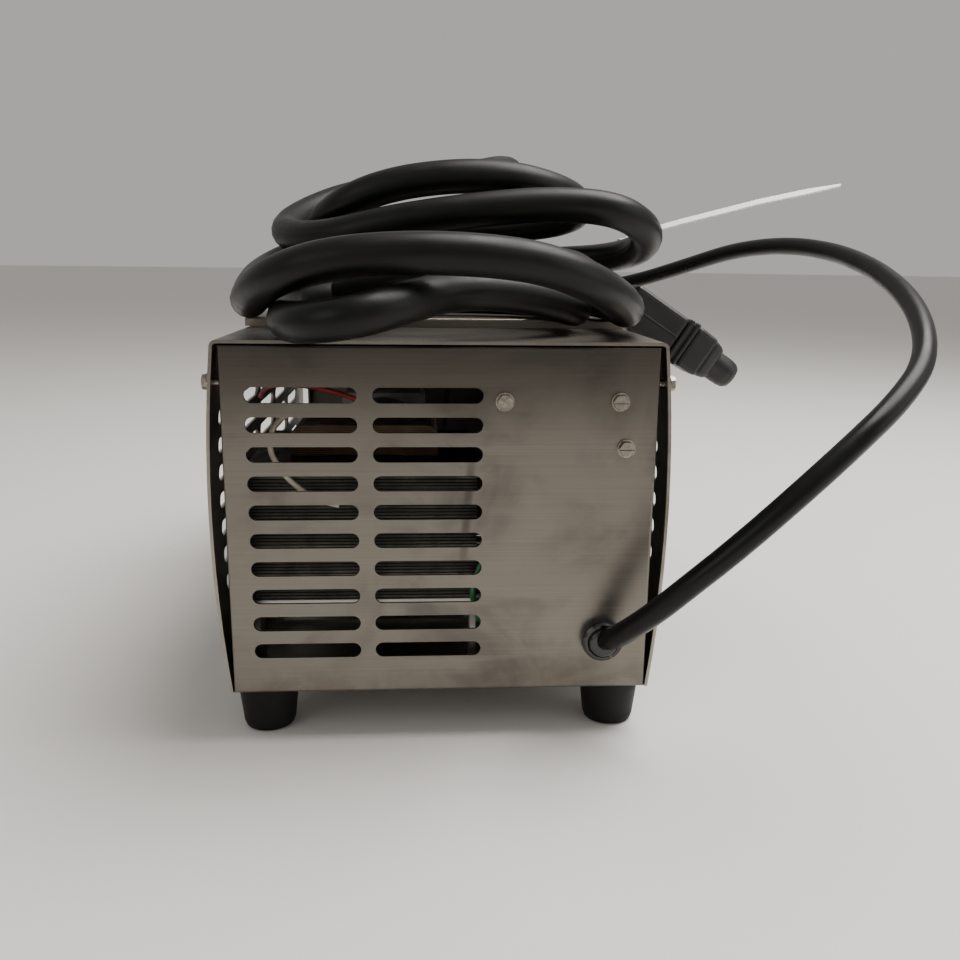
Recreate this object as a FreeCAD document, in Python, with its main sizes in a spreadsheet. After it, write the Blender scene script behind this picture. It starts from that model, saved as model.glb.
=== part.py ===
import FreeCAD, Part
import math
import os
import re

import Sketcher
from FreeCAD import Rotation, Vector

# Bench-top peristaltic pump in a vented stainless steel case, +Z up, on the floor z = 0.
# The cord panel faces -Y and the pump head faces +Y. Every length is in millimetres.

DOC = FreeCAD.newDocument("peristaltic_pump")
SHEET = DOC.addObject("Spreadsheet::Sheet", "Dimensions")
NODES = []

DIMENSIONS = {
    # case, from the cord panel's outer face to the pump panel's outer face
    "case_width": 199, "case_length": 350, "panel_height": 166, "sheet_gauge": 1.5,
    "foot_height": 26, "foot_top_radius": 15.3, "foot_low_radius": 12.8, "foot_spread": 86.3,
    "foot_inset": 22, "rear_face": -196.4, "panel_lip": 12, "bend_radius": 2,
    # cover: an inverted U whose sides bow out between the top bend and the bottom edge
    "cover_width": 205.6, "cover_top": 194, "cover_bow": 4, "cover_tuck": 1.65,
    "tray_start": 90, "tray_height": 5,
    # slots
    "slot_length": 50.2, "slot_height": 7.2, "slot_pitch": 13.58, "slot_low": 47.4,
    "slot_left": -63.6, "slot_step": 57.1, "side_slot_step": 60, "side_slot_start": 45,
    # screws
    "cover_screw_out": 1.95, "washer_radius": 4.3, "hex_across": 6.4, "head_height": 3.2, "shank_radius": 1.9,
    # transformer
    "core_width": 108, "core_depth": 88, "core_height": 68, "core_x": -37, "core_y": 57,
    "core_low": 68, "leg_width": 36, "window_width": 18, "window_depth": 54, "coil_rise": 15,
    # pump head, shaft axis at head_x, head_z
    "head_x": -38, "head_z": 97, "head_half": 48, "head_rise": 62, "head_drop": 40,
    "head_depth": 46, "back_wall": 8, "track_radius": 34, "roller_orbit": 24.1,
    "roller_radius": 6.5, "roller_length": 17, "plate_radius": 29, "plate_gauge": 3,
    "pin_radius": 2, "shaft_radius": 5, "running_gap": 0.05, "door_gauge": 5,
    "door_gap": 0.3, "hinge_radius": 4, "hinge_pin_radius": 1.5,
    "tube_radius": 4.75, "tube_bore": 3.2, "tube_squeeze": 1.4, "tube_flat": 7,
    # controls on the pump panel
    "knob_x": 48, "knob_z": 114, "knob_radius": 17, "knob_height": 20,
    "switch_x": 38, "switch_z": 66, "toggle_x": 74, "lamp_z": 92,
    # cords
    "mains_radius": 5.4, "heavy_radius": 8.75, "bushing_x": 77, "bushing_z": 52,
    "bushing_out": 10, "gland_x": 75, "gland_z": 150, "gland_out": 35,
    "mains_ring_x": 5, "mains_ring_y": 286, "mains_ring_mean": 52, "heavy_ring_x": 8,
    "heavy_ring_y": 84,
}


def fill_sheet():
    for row, (alias, value) in enumerate(DIMENSIONS.items(), start=1):
        SHEET.set(f"A{row}", alias)
        SHEET.set(f"B{row}", str(value))
        SHEET.setAlias(f"B{row}", alias)
    DOC.recompute()


def term(text):
    """An expression on the sheet's cells, written with their bare names."""
    return re.sub(r"[a-z]+(?:_[a-z]+)+", r"Dimensions.\g<0>", str(text))


def number(text):
    return float(SHEET.evalExpression(term(text)))


def bind(item, **terms):
    for name, text in terms.items():
        item.setExpression(name, term(text))


def place(item, x, y, z):
    for axis, text in (("x", x), ("y", y), ("z", z)):
        item.setExpression(f"Placement.Base.{axis}", term(text))


def node(item, label):
    """Marks a finished sub-part, whose label names its file."""
    item.Label = label
    NODES.append(item)
    return item


# ---- Part primitives, bound to the sheet

TURNED = {"X": Rotation(Vector(0, 1, 0), 90), "Y": Rotation(Vector(1, 0, 0), -90), "Z": Rotation()}


def block(name, length, width, height, x, y, z):
    item = DOC.addObject("Part::Box", name)
    bind(item, Length=length, Width=width, Height=height)
    place(item, x, y, z)
    return item


def rod(name, radius, length, x, y, z, along="Z"):
    item = DOC.addObject("Part::Cylinder", name)
    item.Placement.Rotation = TURNED[along]
    bind(item, Radius=radius, Height=length)
    place(item, x, y, z)
    return item


def cone(name, radius_low, radius_high, length, x, y, z, along="Z"):
    item = DOC.addObject("Part::Cone", name)
    item.Placement.Rotation = TURNED[along]
    bind(item, Radius1=radius_low, Radius2=radius_high, Height=length)
    place(item, x, y, z)
    return item


def joined(name, *pieces):
    item = DOC.addObject("Part::MultiFuse", name)
    item.Shapes = list(pieces)
    return item


def less(name, base, *tools):
    item = DOC.addObject("Part::Cut", name)
    item.Base = base
    item.Tool = tools[0] if len(tools) == 1 else joined(name + "_tools", *tools)
    return item


def group(name, pieces):
    item = DOC.addObject("Part::Compound", name)
    item.Links = list(pieces)
    return item


def rounded(name, base, radius, wanted):
    """Fillets the edges of base that wanted(edge) picks."""
    DOC.recompute()
    size = number(radius)
    picked = [i for i, edge in enumerate(base.Shape.Edges, start=1) if wanted(edge)]
    item = DOC.addObject("Part::Fillet", name)
    item.Base = base
    item.Edges = [(i, size, size) for i in picked]
    return item


def straight(edge, along):
    """True for a straight edge that runs along the named axis."""
    if edge.Curve.TypeId != "Part::GeomLine":
        return False
    step = edge.Vertexes[-1].Point - edge.Vertexes[0].Point
    return abs(getattr(step, along)) > 0.999 * step.Length


# ---- PartDesign bodies

def new_body(name):
    return DOC.addObject("PartDesign::Body", name)


def sketch_on(body, role, offset="0"):
    """A sketch on one of the body's own origin planes, offset along the plane's normal."""
    plane = next(f for f in body.Origin.OriginFeatures if f.Role == role)
    sketch = body.newObject("Sketcher::SketchObject", body.Name + "_sketch")
    sketch.AttachmentSupport = [(plane, "")]
    sketch.MapMode = "FlatFace"
    sketch.setExpression("AttachmentOffset.Base.z", term(offset))
    return sketch


def pin_point(sketch, geometry, point, u, v):
    for kind, text in (("DistanceX", u), ("DistanceY", v)):
        rule = Sketcher.Constraint(kind, -1, 1, geometry, point, number(text))
        at = sketch.addConstraint(rule)
        sketch.setExpression(f"Constraints[{at}]", term(text))


def draw_polygon(sketch, corners):
    values = [Vector(number(u), number(v), 0) for u, v in corners]
    first = sketch.GeometryCount
    count = len(corners)
    for i in range(count):
        sketch.addGeometry(Part.LineSegment(values[i], values[(i + 1) % count]), False)
    for i in range(count):
        joint = (first + i, 2, first + (i + 1) % count, 1)
        sketch.addConstraint(Sketcher.Constraint("Coincident", *joint))
        pin_point(sketch, first + i, 1, *corners[i])


def draw_circle(sketch, u, v, radius):
    centre = Vector(number(u), number(v), 0)
    at = sketch.addGeometry(Part.Circle(centre, Vector(0, 0, 1), number(radius)), False)
    pin_point(sketch, at, 3, u, v)
    rule = sketch.addConstraint(Sketcher.Constraint("Radius", at, number(radius)))
    sketch.setExpression(f"Constraints[{rule}]", term(radius))


def draw_slot(sketch, u, v, length, height):
    """A round-ended slot centred on (u, v), long along the sketch's first axis."""
    mid_u, mid_v = number(u), number(v)
    radius = number(height) / 2
    reach = number(length) / 2 - radius
    ends = [Vector(mid_u - reach, mid_v, 0), Vector(mid_u + reach, mid_v, 0)]
    up = Vector(0, radius, 0)
    normal = Vector(0, 0, 1)
    quarter = math.pi / 2
    left = Part.ArcOfCircle(Part.Circle(ends[0], normal, radius), quarter, 3 * quarter)
    right = Part.ArcOfCircle(Part.Circle(ends[1], normal, radius), -quarter, quarter)
    low = Part.LineSegment(ends[0] - up, ends[1] - up)
    high = Part.LineSegment(ends[1] + up, ends[0] + up)
    first = sketch.GeometryCount
    for curve in (left, low, right, high):
        sketch.addGeometry(curve, False)
    for i in range(4):
        joint = (first + i, 2, first + (i + 1) % 4, 1)
        sketch.addConstraint(Sketcher.Constraint("Tangent", *joint))
    sketch.addConstraint(Sketcher.Constraint("Equal", first, first + 2))
    rule = sketch.addConstraint(Sketcher.Constraint("Radius", first, radius))
    sketch.setExpression(f"Constraints[{rule}]", term(f"({height}) / 2"))
    half = f"(({length}) - ({height})) / 2"
    pin_point(sketch, first, 3, f"({u}) - {half}", v)
    pin_point(sketch, first + 2, 3, f"({u}) + {half}", v)


def feature(body, kind, sketch, **terms):
    item = body.newObject("PartDesign::" + kind, f"{body.Name}_{kind.lower()}")
    if sketch is not None:
        item.Profile = sketch
    bind(item, **terms)
    return item


def pad(body, sketch, length, both_ways=False, reverse=False):
    item = feature(body, "Pad", sketch, Length=length)
    item.SideType = "Symmetric" if both_ways else "One side"
    item.Reversed = reverse
    return item


def pocket(body, sketch, length, reverse=False):
    """Cuts the sketch's outline, and fails if nothing was there to cut."""
    DOC.recompute()
    before = body.Shape.Volume
    item = feature(body, "Pocket", sketch, Length=length)
    item.Reversed = reverse
    DOC.recompute()
    if body.Shape.Volume > before - 0.01:
        raise ValueError(f"{item.Name} cuts nothing")
    return item


def turned(body, corners):
    """A solid of revolution about Z, from corners given as (radius, height)."""
    sketch = sketch_on(body, "XZ_Plane")
    draw_polygon(sketch, corners)
    item = feature(body, "Revolution", sketch)
    item.ReferenceAxis = (sketch, ["V_Axis"])
    item.Angle = 360
    return item


def pattern(body, originals, role, pitch, count):
    """Repeats features along one of the body's origin axes."""
    item = body.newObject("PartDesign::LinearPattern", body.Name + "_pattern")
    item.Originals = list(originals)
    axis = next(f for f in body.Origin.OriginFeatures if f.Role == role)
    item.Direction = (axis, [""])
    item.Mode = "Spacing"
    item.Occurrences = count
    bind(item, Offset=pitch)
    body.Tip = item
    return item


def round_edges(body, radius, wanted):
    """Fillets the body's edges that wanted(edge) picks."""
    DOC.recompute()
    base = body.Tip
    picked = [f"Edge{i}" for i, edge in enumerate(base.Shape.Edges, start=1) if wanted(edge)]
    item = body.newObject("PartDesign::Fillet", body.Name + "_rounding")
    item.Base = (base, picked)
    bind(item, Radius=radius)
    return item


def all_at(edge, axis, value):
    return all(abs(getattr(v.Point, axis) - value) < 0.01 for v in edge.Vertexes)


# ---- the case

SLOT_ROWS = 10
SIDE_ROWS = 8
SIDE_COLUMNS = 5
SIDES = (-1, 1)
PANEL_SCREWS = ((28.3, 25), (81.4, 25), (85, 46.6))
COVER_SCREW_DROP = 19.5
CORNERS = {
    "rear_left": (-1, "rear_face + foot_inset"), "rear_right": (1, "rear_face + foot_inset"),
    "front_left": (-1, "rear_face + case_length - foot_inset"),
    "front_right": (1, "rear_face + case_length - foot_inset"),
}


def chassis():
    """Floor and cord panel in one sheet, folded along the panel's bottom edge."""
    body = new_body("chassis_pan")
    profile = sketch_on(body, "YZ_Plane")
    back = "rear_face"
    end = "rear_face + case_length - 2 * sheet_gauge"
    low = "foot_height"
    top = "foot_height + panel_height"
    gauge = "sheet_gauge"
    draw_polygon(profile, [
        (back, low), (end, low), (end, f"{low} + {gauge}"), (f"{back} + {gauge}", f"{low} + {gauge}"),
        (f"{back} + {gauge}", f"{top} - {gauge}"), (f"{back} + panel_lip", f"{top} - {gauge}"),
        (f"{back} + panel_lip", top), (back, top),
    ])
    pad(body, profile, "case_width", both_ways=True)
    sides = sketch_on(body, "XZ_Plane", f"-({back})")
    for side in SIDES:
        inner = f"{side} * (case_width / 2 - {gauge})"
        outer = f"{side} * case_width / 2"
        draw_polygon(sides, [(inner, low), (outer, low), (outer, top), (inner, top)])
    pad(body, sides, "panel_lip", reverse=True)
    face = number(back)
    round_edges(body, "bend_radius - 0.6", lambda edge: all_at(edge, "y", face) and edge.Length > 100)
    DOC.recompute()
    slots = sketch_on(body, "XZ_Plane", f"-({back} - 1)")
    for column in range(2):
        draw_slot(slots, f"slot_left + {column} * slot_step", "slot_low", "slot_length", "slot_height")
    cuts = pocket(body, slots, f"{gauge} + 1.5")
    pattern(body, [cuts], "Z_Axis", "slot_pitch", SLOT_ROWS)
    DOC.recompute()
    vents = sketch_on(body, "XY_Plane", low)
    for column in SIDES:
        draw_slot(vents, f"{column} * 34", f"{back} + 70", "slot_length", "slot_height")
    floor_cuts = pocket(body, vents, "3 * sheet_gauge", reverse=True)
    pattern(body, [floor_cuts], "Y_Axis", "slot_pitch * 1.4", 12)
    DOC.recompute()
    bolts = sketch_on(body, "XY_Plane", low)
    for side, y in CORNERS.values():
        draw_circle(bolts, f"{side} * foot_spread", y, "2.3")
    pocket(body, bolts, "3 * sheet_gauge", reverse=True)
    screws = sketch_on(body, "YZ_Plane", "-case_width")
    draw_circle(screws, f"{back} + 8", "cover_top - 19.5", "shank_radius + 0.15")
    pocket(body, screws, "2 * case_width", reverse=True)
    holes = sketch_on(body, "XZ_Plane", f"-({back} - 1)")
    for x, drop in PANEL_SCREWS:
        draw_circle(holes, x, f"{top} - {drop}", "shank_radius + 0.15")
    draw_circle(holes, "bushing_x", "bushing_z", "7.9")
    pocket(body, holes, f"{gauge} + 1.5")
    return node(body, "chassis_pan")


def pump_panel():
    """Flat panel that carries the pump head, the motor and the controls."""
    front = "rear_face + case_length"
    gauge = "2 * sheet_gauge"
    sheet = block("pump_panel_sheet", "case_width", gauge, "panel_height",
                  "-case_width / 2", f"{front} - {gauge}", "foot_height")
    tabs = [
        block(f"panel_tab_{i}", "sheet_gauge", "14", "panel_height - 4", x,
              f"{front} - {gauge} - 13", "foot_height + 3")
        for i, x in enumerate(("-case_width / 2", "case_width / 2 - sheet_gauge"))
    ]
    y = f"{front} - {gauge} - 1"
    holes = [
        rod("cover_screw_opening", "shank_radius + 0.15", "2 * case_width", "-case_width",
            f"{front} - 8", "cover_top - 19.5", "X"),
        rod("shaft_opening", "shaft_radius + 4", "8", "head_x", y, "head_z", "Y"),
        rod("knob_opening", "3.6", "8", "knob_x", y, "knob_z", "Y"),
        rod("toggle_opening", "6.1", "8", "toggle_x", y, "switch_z", "Y"),
        rod("lamp_opening", "4.6", "8", "toggle_x", y, "lamp_z", "Y"),
        rod("gland_opening", "11.1", "8", "gland_x", y, "gland_z", "Y"),
        block("switch_opening", "19.2", "8", "12.6", "switch_x - 9.6", y, "switch_z - 6.3"),
    ]
    return node(less("pump_panel_cut", joined("pump_panel_sheets", sheet, *tabs), *holes), "pump_panel")


def bowed_side(side, half_width, top, low, bow, tuck):
    """The bulging line of the cover's side, from its top bend to its bottom edge."""
    points = [
        Vector(side * half_width, 0, top),
        Vector(side * (half_width + bow), 0, (top + low) / 2),
        Vector(side * (half_width - tuck), 0, low),
    ]
    return Part.Arc(*points).toShape()


def cover():
    """Top and both sides in one sheet. Its sides spring outwards between the two bends."""
    gauge = number("sheet_gauge")
    half = number("cover_width / 2")
    top = number("cover_top")
    low = number("foot_height") + 0.2
    bow, tuck = number("cover_bow"), number("cover_tuck")
    corner = 3
    outer = half - corner
    inner_corner = corner - gauge
    outer_left = bowed_side(-1, half, top - corner, low, bow, tuck)
    outer_right = bowed_side(1, half, top - corner, low, bow, tuck)
    inner_left = bowed_side(-1, half - gauge, top - corner, low, bow, tuck)
    inner_right = bowed_side(1, half - gauge, top - corner, low, bow, tuck)
    slope = math.sin(math.pi / 4)

    def bend(side, radius):
        middle = Vector(side * (outer + radius * slope), 0, top - corner + radius * slope)
        start = Vector(side * (outer + radius), 0, top - corner)
        return Part.Arc(start, middle, Vector(side * outer, 0, top - corner + radius)).toShape()

    def flat(height):
        return Part.LineSegment(Vector(-outer, 0, height), Vector(outer, 0, height)).toShape()

    def foot(side):
        start = Vector(side * (half - tuck), 0, low)
        return Part.LineSegment(start, start - Vector(side * gauge, 0, 0)).toShape()

    edges = [
        outer_left, bend(-1, corner), flat(top), bend(1, corner), outer_right, foot(1),
        inner_right, bend(1, inner_corner), flat(top - gauge), bend(-1, inner_corner), inner_left, foot(-1),
    ]
    length = number("case_length")
    wire = Part.Wire(Part.__sortEdges__(edges))
    shell = Part.Face(wire).extrude(Vector(0, length, 0))
    slot = slot_tool(number("slot_length"), number("slot_height"), 2 * half + 60)
    cuts = []
    for row in range(SIDE_ROWS):
        for column in range(SIDE_COLUMNS):
            y = number("side_slot_start") + column * number("side_slot_step")
            z = number("slot_low + slot_pitch") + row * number("slot_pitch")
            cuts.append(slot.translated(Vector(-half - 30, y, z)))
    hole = Part.makeCylinder(number("shank_radius") + 0.15, 2 * half + 60, Vector(), Vector(1, 0, 0))
    for y in (8, length - 8):
        cuts.append(hole.translated(Vector(-half - 30, y, top - COVER_SCREW_DROP)))
    item = DOC.addObject("Part::Feature", "cover_shell")
    item.Shape = shell.cut(cuts)
    item.Placement.Base = Vector(0, number("rear_face"), 0)
    return node(item, "cover")


def slot_tool(length, height, depth):
    """A round-ended bar along X, its section long along Y, centred on the X axis."""
    radius = height / 2
    reach = length / 2 - radius
    bar = Part.makeBox(depth, 2 * reach, height, Vector(0, -reach, -radius))
    ends = [Part.makeCylinder(radius, depth, Vector(0, s * reach, 0), Vector(1, 0, 0)) for s in SIDES]
    return bar.fuse(ends).removeSplitter()


def tray():
    """Raised plate on the cover, a shallow pan turned upside down."""
    body = new_body("top_plate")
    gap = "0.1"
    outline = sketch_on(body, "XY_Plane", f"cover_top + {gap}")
    half = "(cover_width / 2)"
    start, end = "rear_face + tray_start", "rear_face + case_length"
    draw_polygon(outline, [(f"-{half}", start), (half, start), (half, end), (f"-{half}", end)])
    pad(body, outline, f"tray_height - {gap}")
    high = number("cover_top + tray_height")
    round_edges(body, "1.6", lambda edge: all_at(edge, "z", high))
    DOC.recompute()
    hollow = sketch_on(body, "XY_Plane", "cover_top")
    wall = "sheet_gauge"
    draw_polygon(hollow, [
        (f"-{half} + {wall}", f"{start} + {wall}"), (f"{half} - {wall}", f"{start} + {wall}"),
        (f"{half} - {wall}", f"{end} - {wall}"), (f"-{half} + {wall}", f"{end} - {wall}"),
    ])
    pocket(body, hollow, f"tray_height - {wall}", reverse=True)
    return node(body, "top_plate")


def foot(name, side, y):
    """Tapered rubber foot with a rounded lower edge and a recess for its screw."""
    body = new_body("foot_" + name)
    turned(body, [
        ("2.2", "10"), ("5", "10"), ("5", "0"), ("foot_low_radius - 3", "0"),
        ("foot_low_radius - 0.9", "0.9"), ("foot_low_radius", "3.2"),
        ("foot_top_radius", "foot_height - 1.2"), ("foot_top_radius - 1", "foot_height"),
        ("2.2", "foot_height"),
    ])
    place(body, f"{side} * foot_spread", y, "0")
    node(body, "foot_" + name)


def screw(x, y, z, out, slot=True):
    """Hex washer-head screw. Its washer's back is at (x, y, z) and its head points along out."""
    washer = number("washer_radius")
    across = number("hex_across")
    head = number("head_height")
    corner = Vector(across / math.sqrt(3), 0, 0)
    corners = [Rotation(Vector(0, 0, 1), 60 * i).multVec(corner) for i in range(7)]
    hexagon = Part.makePolygon(corners)
    solid = Part.Face(hexagon).extrude(Vector(0, 0, head))
    solid = solid.common(Part.makeCone(across / 2 + 2.2, across / 2 - 0.2, head + 0.6))
    solid = solid.fuse(Part.makeCylinder(washer, 0.9))
    if slot:
        solid = solid.cut(Part.makeBox(2 * washer, 1.1, 1.5, Vector(-washer, -0.55, head - 1.2)))
    solid = solid.fuse(Part.makeCylinder(number("shank_radius"), 7, Vector(), Vector(0, 0, -1)))
    solid.Placement = FreeCAD.Placement(Vector(x, y, z), Rotation(Vector(0, 0, 1), out))
    return solid


def fasteners():
    rear, top = number("rear_face"), number("foot_height + panel_height")
    back = Vector(0, -1, 0)
    on_panel = [
        screw(x, rear, top - drop, back, slot=index > 0)
        for index, (x, drop) in enumerate(PANEL_SCREWS)
    ]
    half = number("cover_width / 2 + cover_screw_out")
    height = number("cover_top") - COVER_SCREW_DROP
    on_cover = [
        screw(side * half, y, height, Vector(side, 0, 0))
        for side in SIDES for y in (rear + 8, rear + number("case_length") - 8)
    ]
    under = []
    for side, y in CORNERS.values():
        head = Part.makeCylinder(4, 2.4, Vector(0, 0, 7.6))
        shank = Part.makeCylinder(2.1, number("foot_height + sheet_gauge") - 10, Vector(0, 0, 10))
        under.append(head.fuse(shank).translated(Vector(side * number("foot_spread"), number(y), 0)))
    for label, solids in (("panel_screws", on_panel), ("cover_screws", on_cover), ("foot_screws", under)):
        item = DOC.addObject("Part::Feature", label)
        item.Shape = Part.makeCompound([s.removeSplitter() for s in solids])
        node(item, label)


# ---- inside the case

def transformer():
    x, y, z = "core_x - core_width / 2", "rear_face + core_y - core_depth / 2", "core_low"
    iron = block("core_stack", "core_width", "core_depth", "core_height", x, y, z)
    windows = [
        block(f"core_window_{index}", "window_width", "window_depth", "core_height + 2",
              f"core_x + {left}", "rear_face + core_y - window_depth / 2", "core_low - 1")
        for index, left in enumerate(("leg_width / 2", "-leg_width / 2 - window_width"))
    ]
    node(less("core_cut", iron, *windows), "transformer_core")
    bulk = block("winding_bulk", "leg_width + 2 * window_width - 1", "window_depth - 1",
                 "core_height + 2 * coil_rise", "core_x - leg_width / 2 - window_width + 0.5",
                 "rear_face + core_y - window_depth / 2 + 0.5", "core_low - coil_rise")
    eased = rounded("winding_eased", bulk, "6", lambda edge: straight(edge, "y"))
    bore = block("winding_bore", "leg_width + 0.4", "window_depth + 2", "core_height + 0.4",
                 "core_x - leg_width / 2 - 0.2", "rear_face + core_y - window_depth / 2 - 1",
                 "core_low - 0.2")
    node(less("winding_cut", eased, bore), "transformer_winding")
    rails = []
    for index, edge in enumerate(("core_depth / 2 - 16", "-core_depth / 2 + 1")):
        rails.append(block(f"rail_{index}", "core_width", "15", "core_low - foot_height - sheet_gauge",
                           x, f"rear_face + core_y + {edge}", "foot_height + sheet_gauge"))
    hollows = [
        block(f"rail_hollow_{index}", "core_width - 6", "20", "core_low - foot_height - 6",
              "core_x - core_width / 2 + 3", f"rear_face + core_y + {edge} - 2",
              "foot_height + sheet_gauge + 2")
        for index, edge in enumerate(("core_depth / 2 - 16", "-core_depth / 2 + 1"))
    ]
    brackets = [less(f"bracket_{i}", rail, hollow) for i, (rail, hollow) in enumerate(zip(rails, hollows))]
    node(group("bracket_pair", brackets), "transformer_brackets")


def drive():
    inner = "rear_face + case_length - 2 * sheet_gauge"
    box = block("gearbox_block", "64", "42", "64", "head_x - 32", f"{inner} - 42", "head_z - 32")
    eased = rounded("gearbox_eased", box, "5", lambda edge: straight(edge, "y"))
    bore = rod("gearbox_bore", "shaft_radius + running_gap", "30", "head_x", f"{inner} - 29", "head_z", "Y")
    node(less("gearbox_cut", eased, bore), "gearbox")
    can = rod("motor_can", "29", "92", "head_x", f"{inner} - 134", "head_z", "Y")
    cap = rod("motor_cap", "26", "6", "head_x", f"{inner} - 140", "head_z", "Y")
    node(joined("motor_joined", can, cap), "drive_motor")
    sheet = block("board_sheet", "1.6", "110", "90", "72", "rear_face + 180", "foot_height + 8")
    feet = [
        block(f"board_foot_{i}", "12", "8", "8", "66", f"rear_face + {y}", "foot_height + sheet_gauge")
        for i, y in enumerate((184, 278))
    ]
    node(joined("board_joined", sheet, *feet), "control_board")
    fins = [block("sink_base", "4", "60", "40", "68", "rear_face + 190", "foot_height + 60")]
    for i in range(7):
        fins.append(block(f"sink_fin_{i}", "18", "2", "40", "50.5", f"rear_face + {190 + i * 9.6}",
                          "foot_height + 60"))
    node(joined("sink_joined", *fins), "heat_sink")
    node(rod("capacitor_can", "11", "34", "38", "rear_face + 262", "foot_height + 40", "X"), "capacitor")


# ---- tubes that follow a route of straight runs joined by tangent arcs

def route_path(points, label):
    """The wire through the points, with each corner rounded as far as its runs allow."""
    edges = []
    radii = []
    last = points[0]
    for before, corner, after in zip(points, points[1:], points[2:]):
        into, out = corner - before, after - corner
        trim = 0.45 * min(into.Length, out.Length)
        half_turn = into.getAngle(out) / 2
        radius = trim / math.tan(half_turn)
        bulge = radius / math.cos(half_turn) - radius
        start = corner - into.normalize() * trim
        end = corner + out.normalize() * trim
        inward = (start + end - corner * 2).normalize()
        edges.append(Part.LineSegment(last, start).toShape())
        edges.append(Part.Arc(start, corner + inward * bulge, end).toShape())
        radii.append(round(radius))
        last = end
    edges.append(Part.LineSegment(last, points[-1]).toShape())
    wire = Part.Wire(edges)
    print(f"{label}: length {wire.Length:.1f}, radii {radii}")
    return wire


def tube(label, points, radius):
    route = [Vector(x, number("rear_face") + y, z) for x, y, z in points]
    path = route_path(route, label)
    ring = Part.Circle(route[0], route[1] - route[0], radius).toShape()
    solid = path.makePipeShell([Part.Wire(ring)], True, False)
    share = solid.Volume / (math.pi * radius ** 2 * path.Length)
    print(f"{label}: volume is {share:.4f} of section times length")
    item = DOC.addObject("Part::Feature", label)
    item.Shape = solid
    return node(item, label)


# Routes are measured from the cord panel's face and from the floor.
MAINS_ROUTE = [
    (77, -10, 52), (78, -20, 53), (83, -30, 58), (93, -38, 68), (108, -43, 83), (128, -46, 104),
    (150, -46, 128), (174, -41, 150), (198, -30, 169), (218, -10, 187), (231, 20, 203), (239, 58, 217),
    (241, 100, 229), (237, 145, 238), (226, 190, 242), (208, 236, 239), (184, 280, 230),
    (155, 314, 220), (120, 333, 214), (84, 339, 210), (48, 338, 205.5),
]
HEAVY_ROUTE = [
    (75, 385, 150), (75, 412, 150), (75, 442, 156), (75, 467, 173), (76, 484, 198), (76, 490, 228),
    (76, 484, 258), (75, 467, 283), (73, 442, 300), (70, 412, 306), (60, 380, 305), (50, 346, 301),
    (36, 312, 295), (16, 280, 288), (-8, 252, 281), (-34, 228, 275), (-58, 206, 270),
]
WIRE_ROUTES = {
    "wire_beige": [
        (-50, 36, 158), (-66, 24, 161), (-78, 13, 155), (-80, 8, 143), (-72, 7, 130), (-60, 7, 120),
        (-48, 7, 117),
    ],
    "wire_green": [(60, 12, 46), (44, 16, 42), (28, 13, 48), (17, 8, 60), (14, 7, 76), (20, 7, 90)],
    "wire_red": [(-30, 40, 157), (-48, 34, 166), (-68, 36, 170), (-86, 48, 168), (-92, 66, 160)],
}
TIE_ROUTE = [(116, 168.5, 242), (150, 169, 254), (200, 170, 267), (256, 172, 279)]


def wires():
    for label, points in WIRE_ROUTES.items():
        tube(label, points, 1.3)


def ring_solid(label, x, y, low, high, outer, inner, edge):
    """Closed outer shape of a coil: an upright oval ring with eased edges."""
    def oval(reach_x, reach_y):
        base = Part.Ellipse(Vector(0, 0, 0), max(reach_x, reach_y), min(reach_x, reach_y)).toShape()
        face = Part.Face(Part.Wire(base))
        if reach_y > reach_x:
            face.rotate(Vector(), Vector(0, 0, 1), 90)
        return face.extrude(Vector(0, 0, high - low))

    solid = oval(*outer).cut(oval(*inner))
    solid = solid.makeFillet(edge, [e for e in solid.Edges if e.Closed])
    item = DOC.addObject("Part::Feature", label)
    item.Shape = solid
    item.Placement.Base = Vector(x, number("rear_face") + y, low)
    return node(item, label)


def cords():
    mains, heavy = number("mains_radius"), number("heavy_radius")
    tube("mains_cord", MAINS_ROUTE, mains)
    mean = number("mains_ring_mean")
    plate = number("cover_top + tray_height")
    outer, inner = mean + 2 * mains, mean - 2 * mains
    ring_solid("mains_cord_coil", number("mains_ring_x"), number("mains_ring_y"), plate + 0.1,
               plate + 4 * mains, (outer, outer), (inner, inner), 4)
    tube("heavy_cable", HEAVY_ROUTE, heavy)
    ring_solid("heavy_cable_coil", number("heavy_ring_x"), number("heavy_ring_y"), plate + 0.3,
               plate + 90, (112, 138), (70, 96), 8)
    cord_ends()


def cord_ends():
    plate = number("cover_top + tray_height")
    top = plate + 4 * number("mains_radius") + 0.1
    rear = number("rear_face")
    low = 12.5
    body = Part.makeCylinder(low, 30, Vector(0, 0, low), Vector(1, 0, 0))
    neck = Part.makeCone(9, 6, 24, Vector(0, 0, low), Vector(-1, 0, 0))
    blades = [Part.makeBox(17, 1.5, 6.4, Vector(30, s * 6.35 - 0.75, low - 0.5)) for s in SIDES]
    earth = Part.makeCylinder(2.4, 20, Vector(30, 0, 6), Vector(1, 0, 0))
    plug = DOC.addObject("Part::Feature", "mains_plug_body")
    plug.Shape = body.fuse([neck, earth] + blades).removeSplitter()
    turned_round = Rotation(Vector(0, 0, 1), 180)
    over_turns = number("mains_ring_y") + number("mains_ring_mean")
    plug.Placement = FreeCAD.Placement(Vector(-19, rear + over_turns, top), turned_round)
    node(plug, "mains_plug")
    connector(Vector(114, rear + 140, 203))
    cable_tie(rear)


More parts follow.
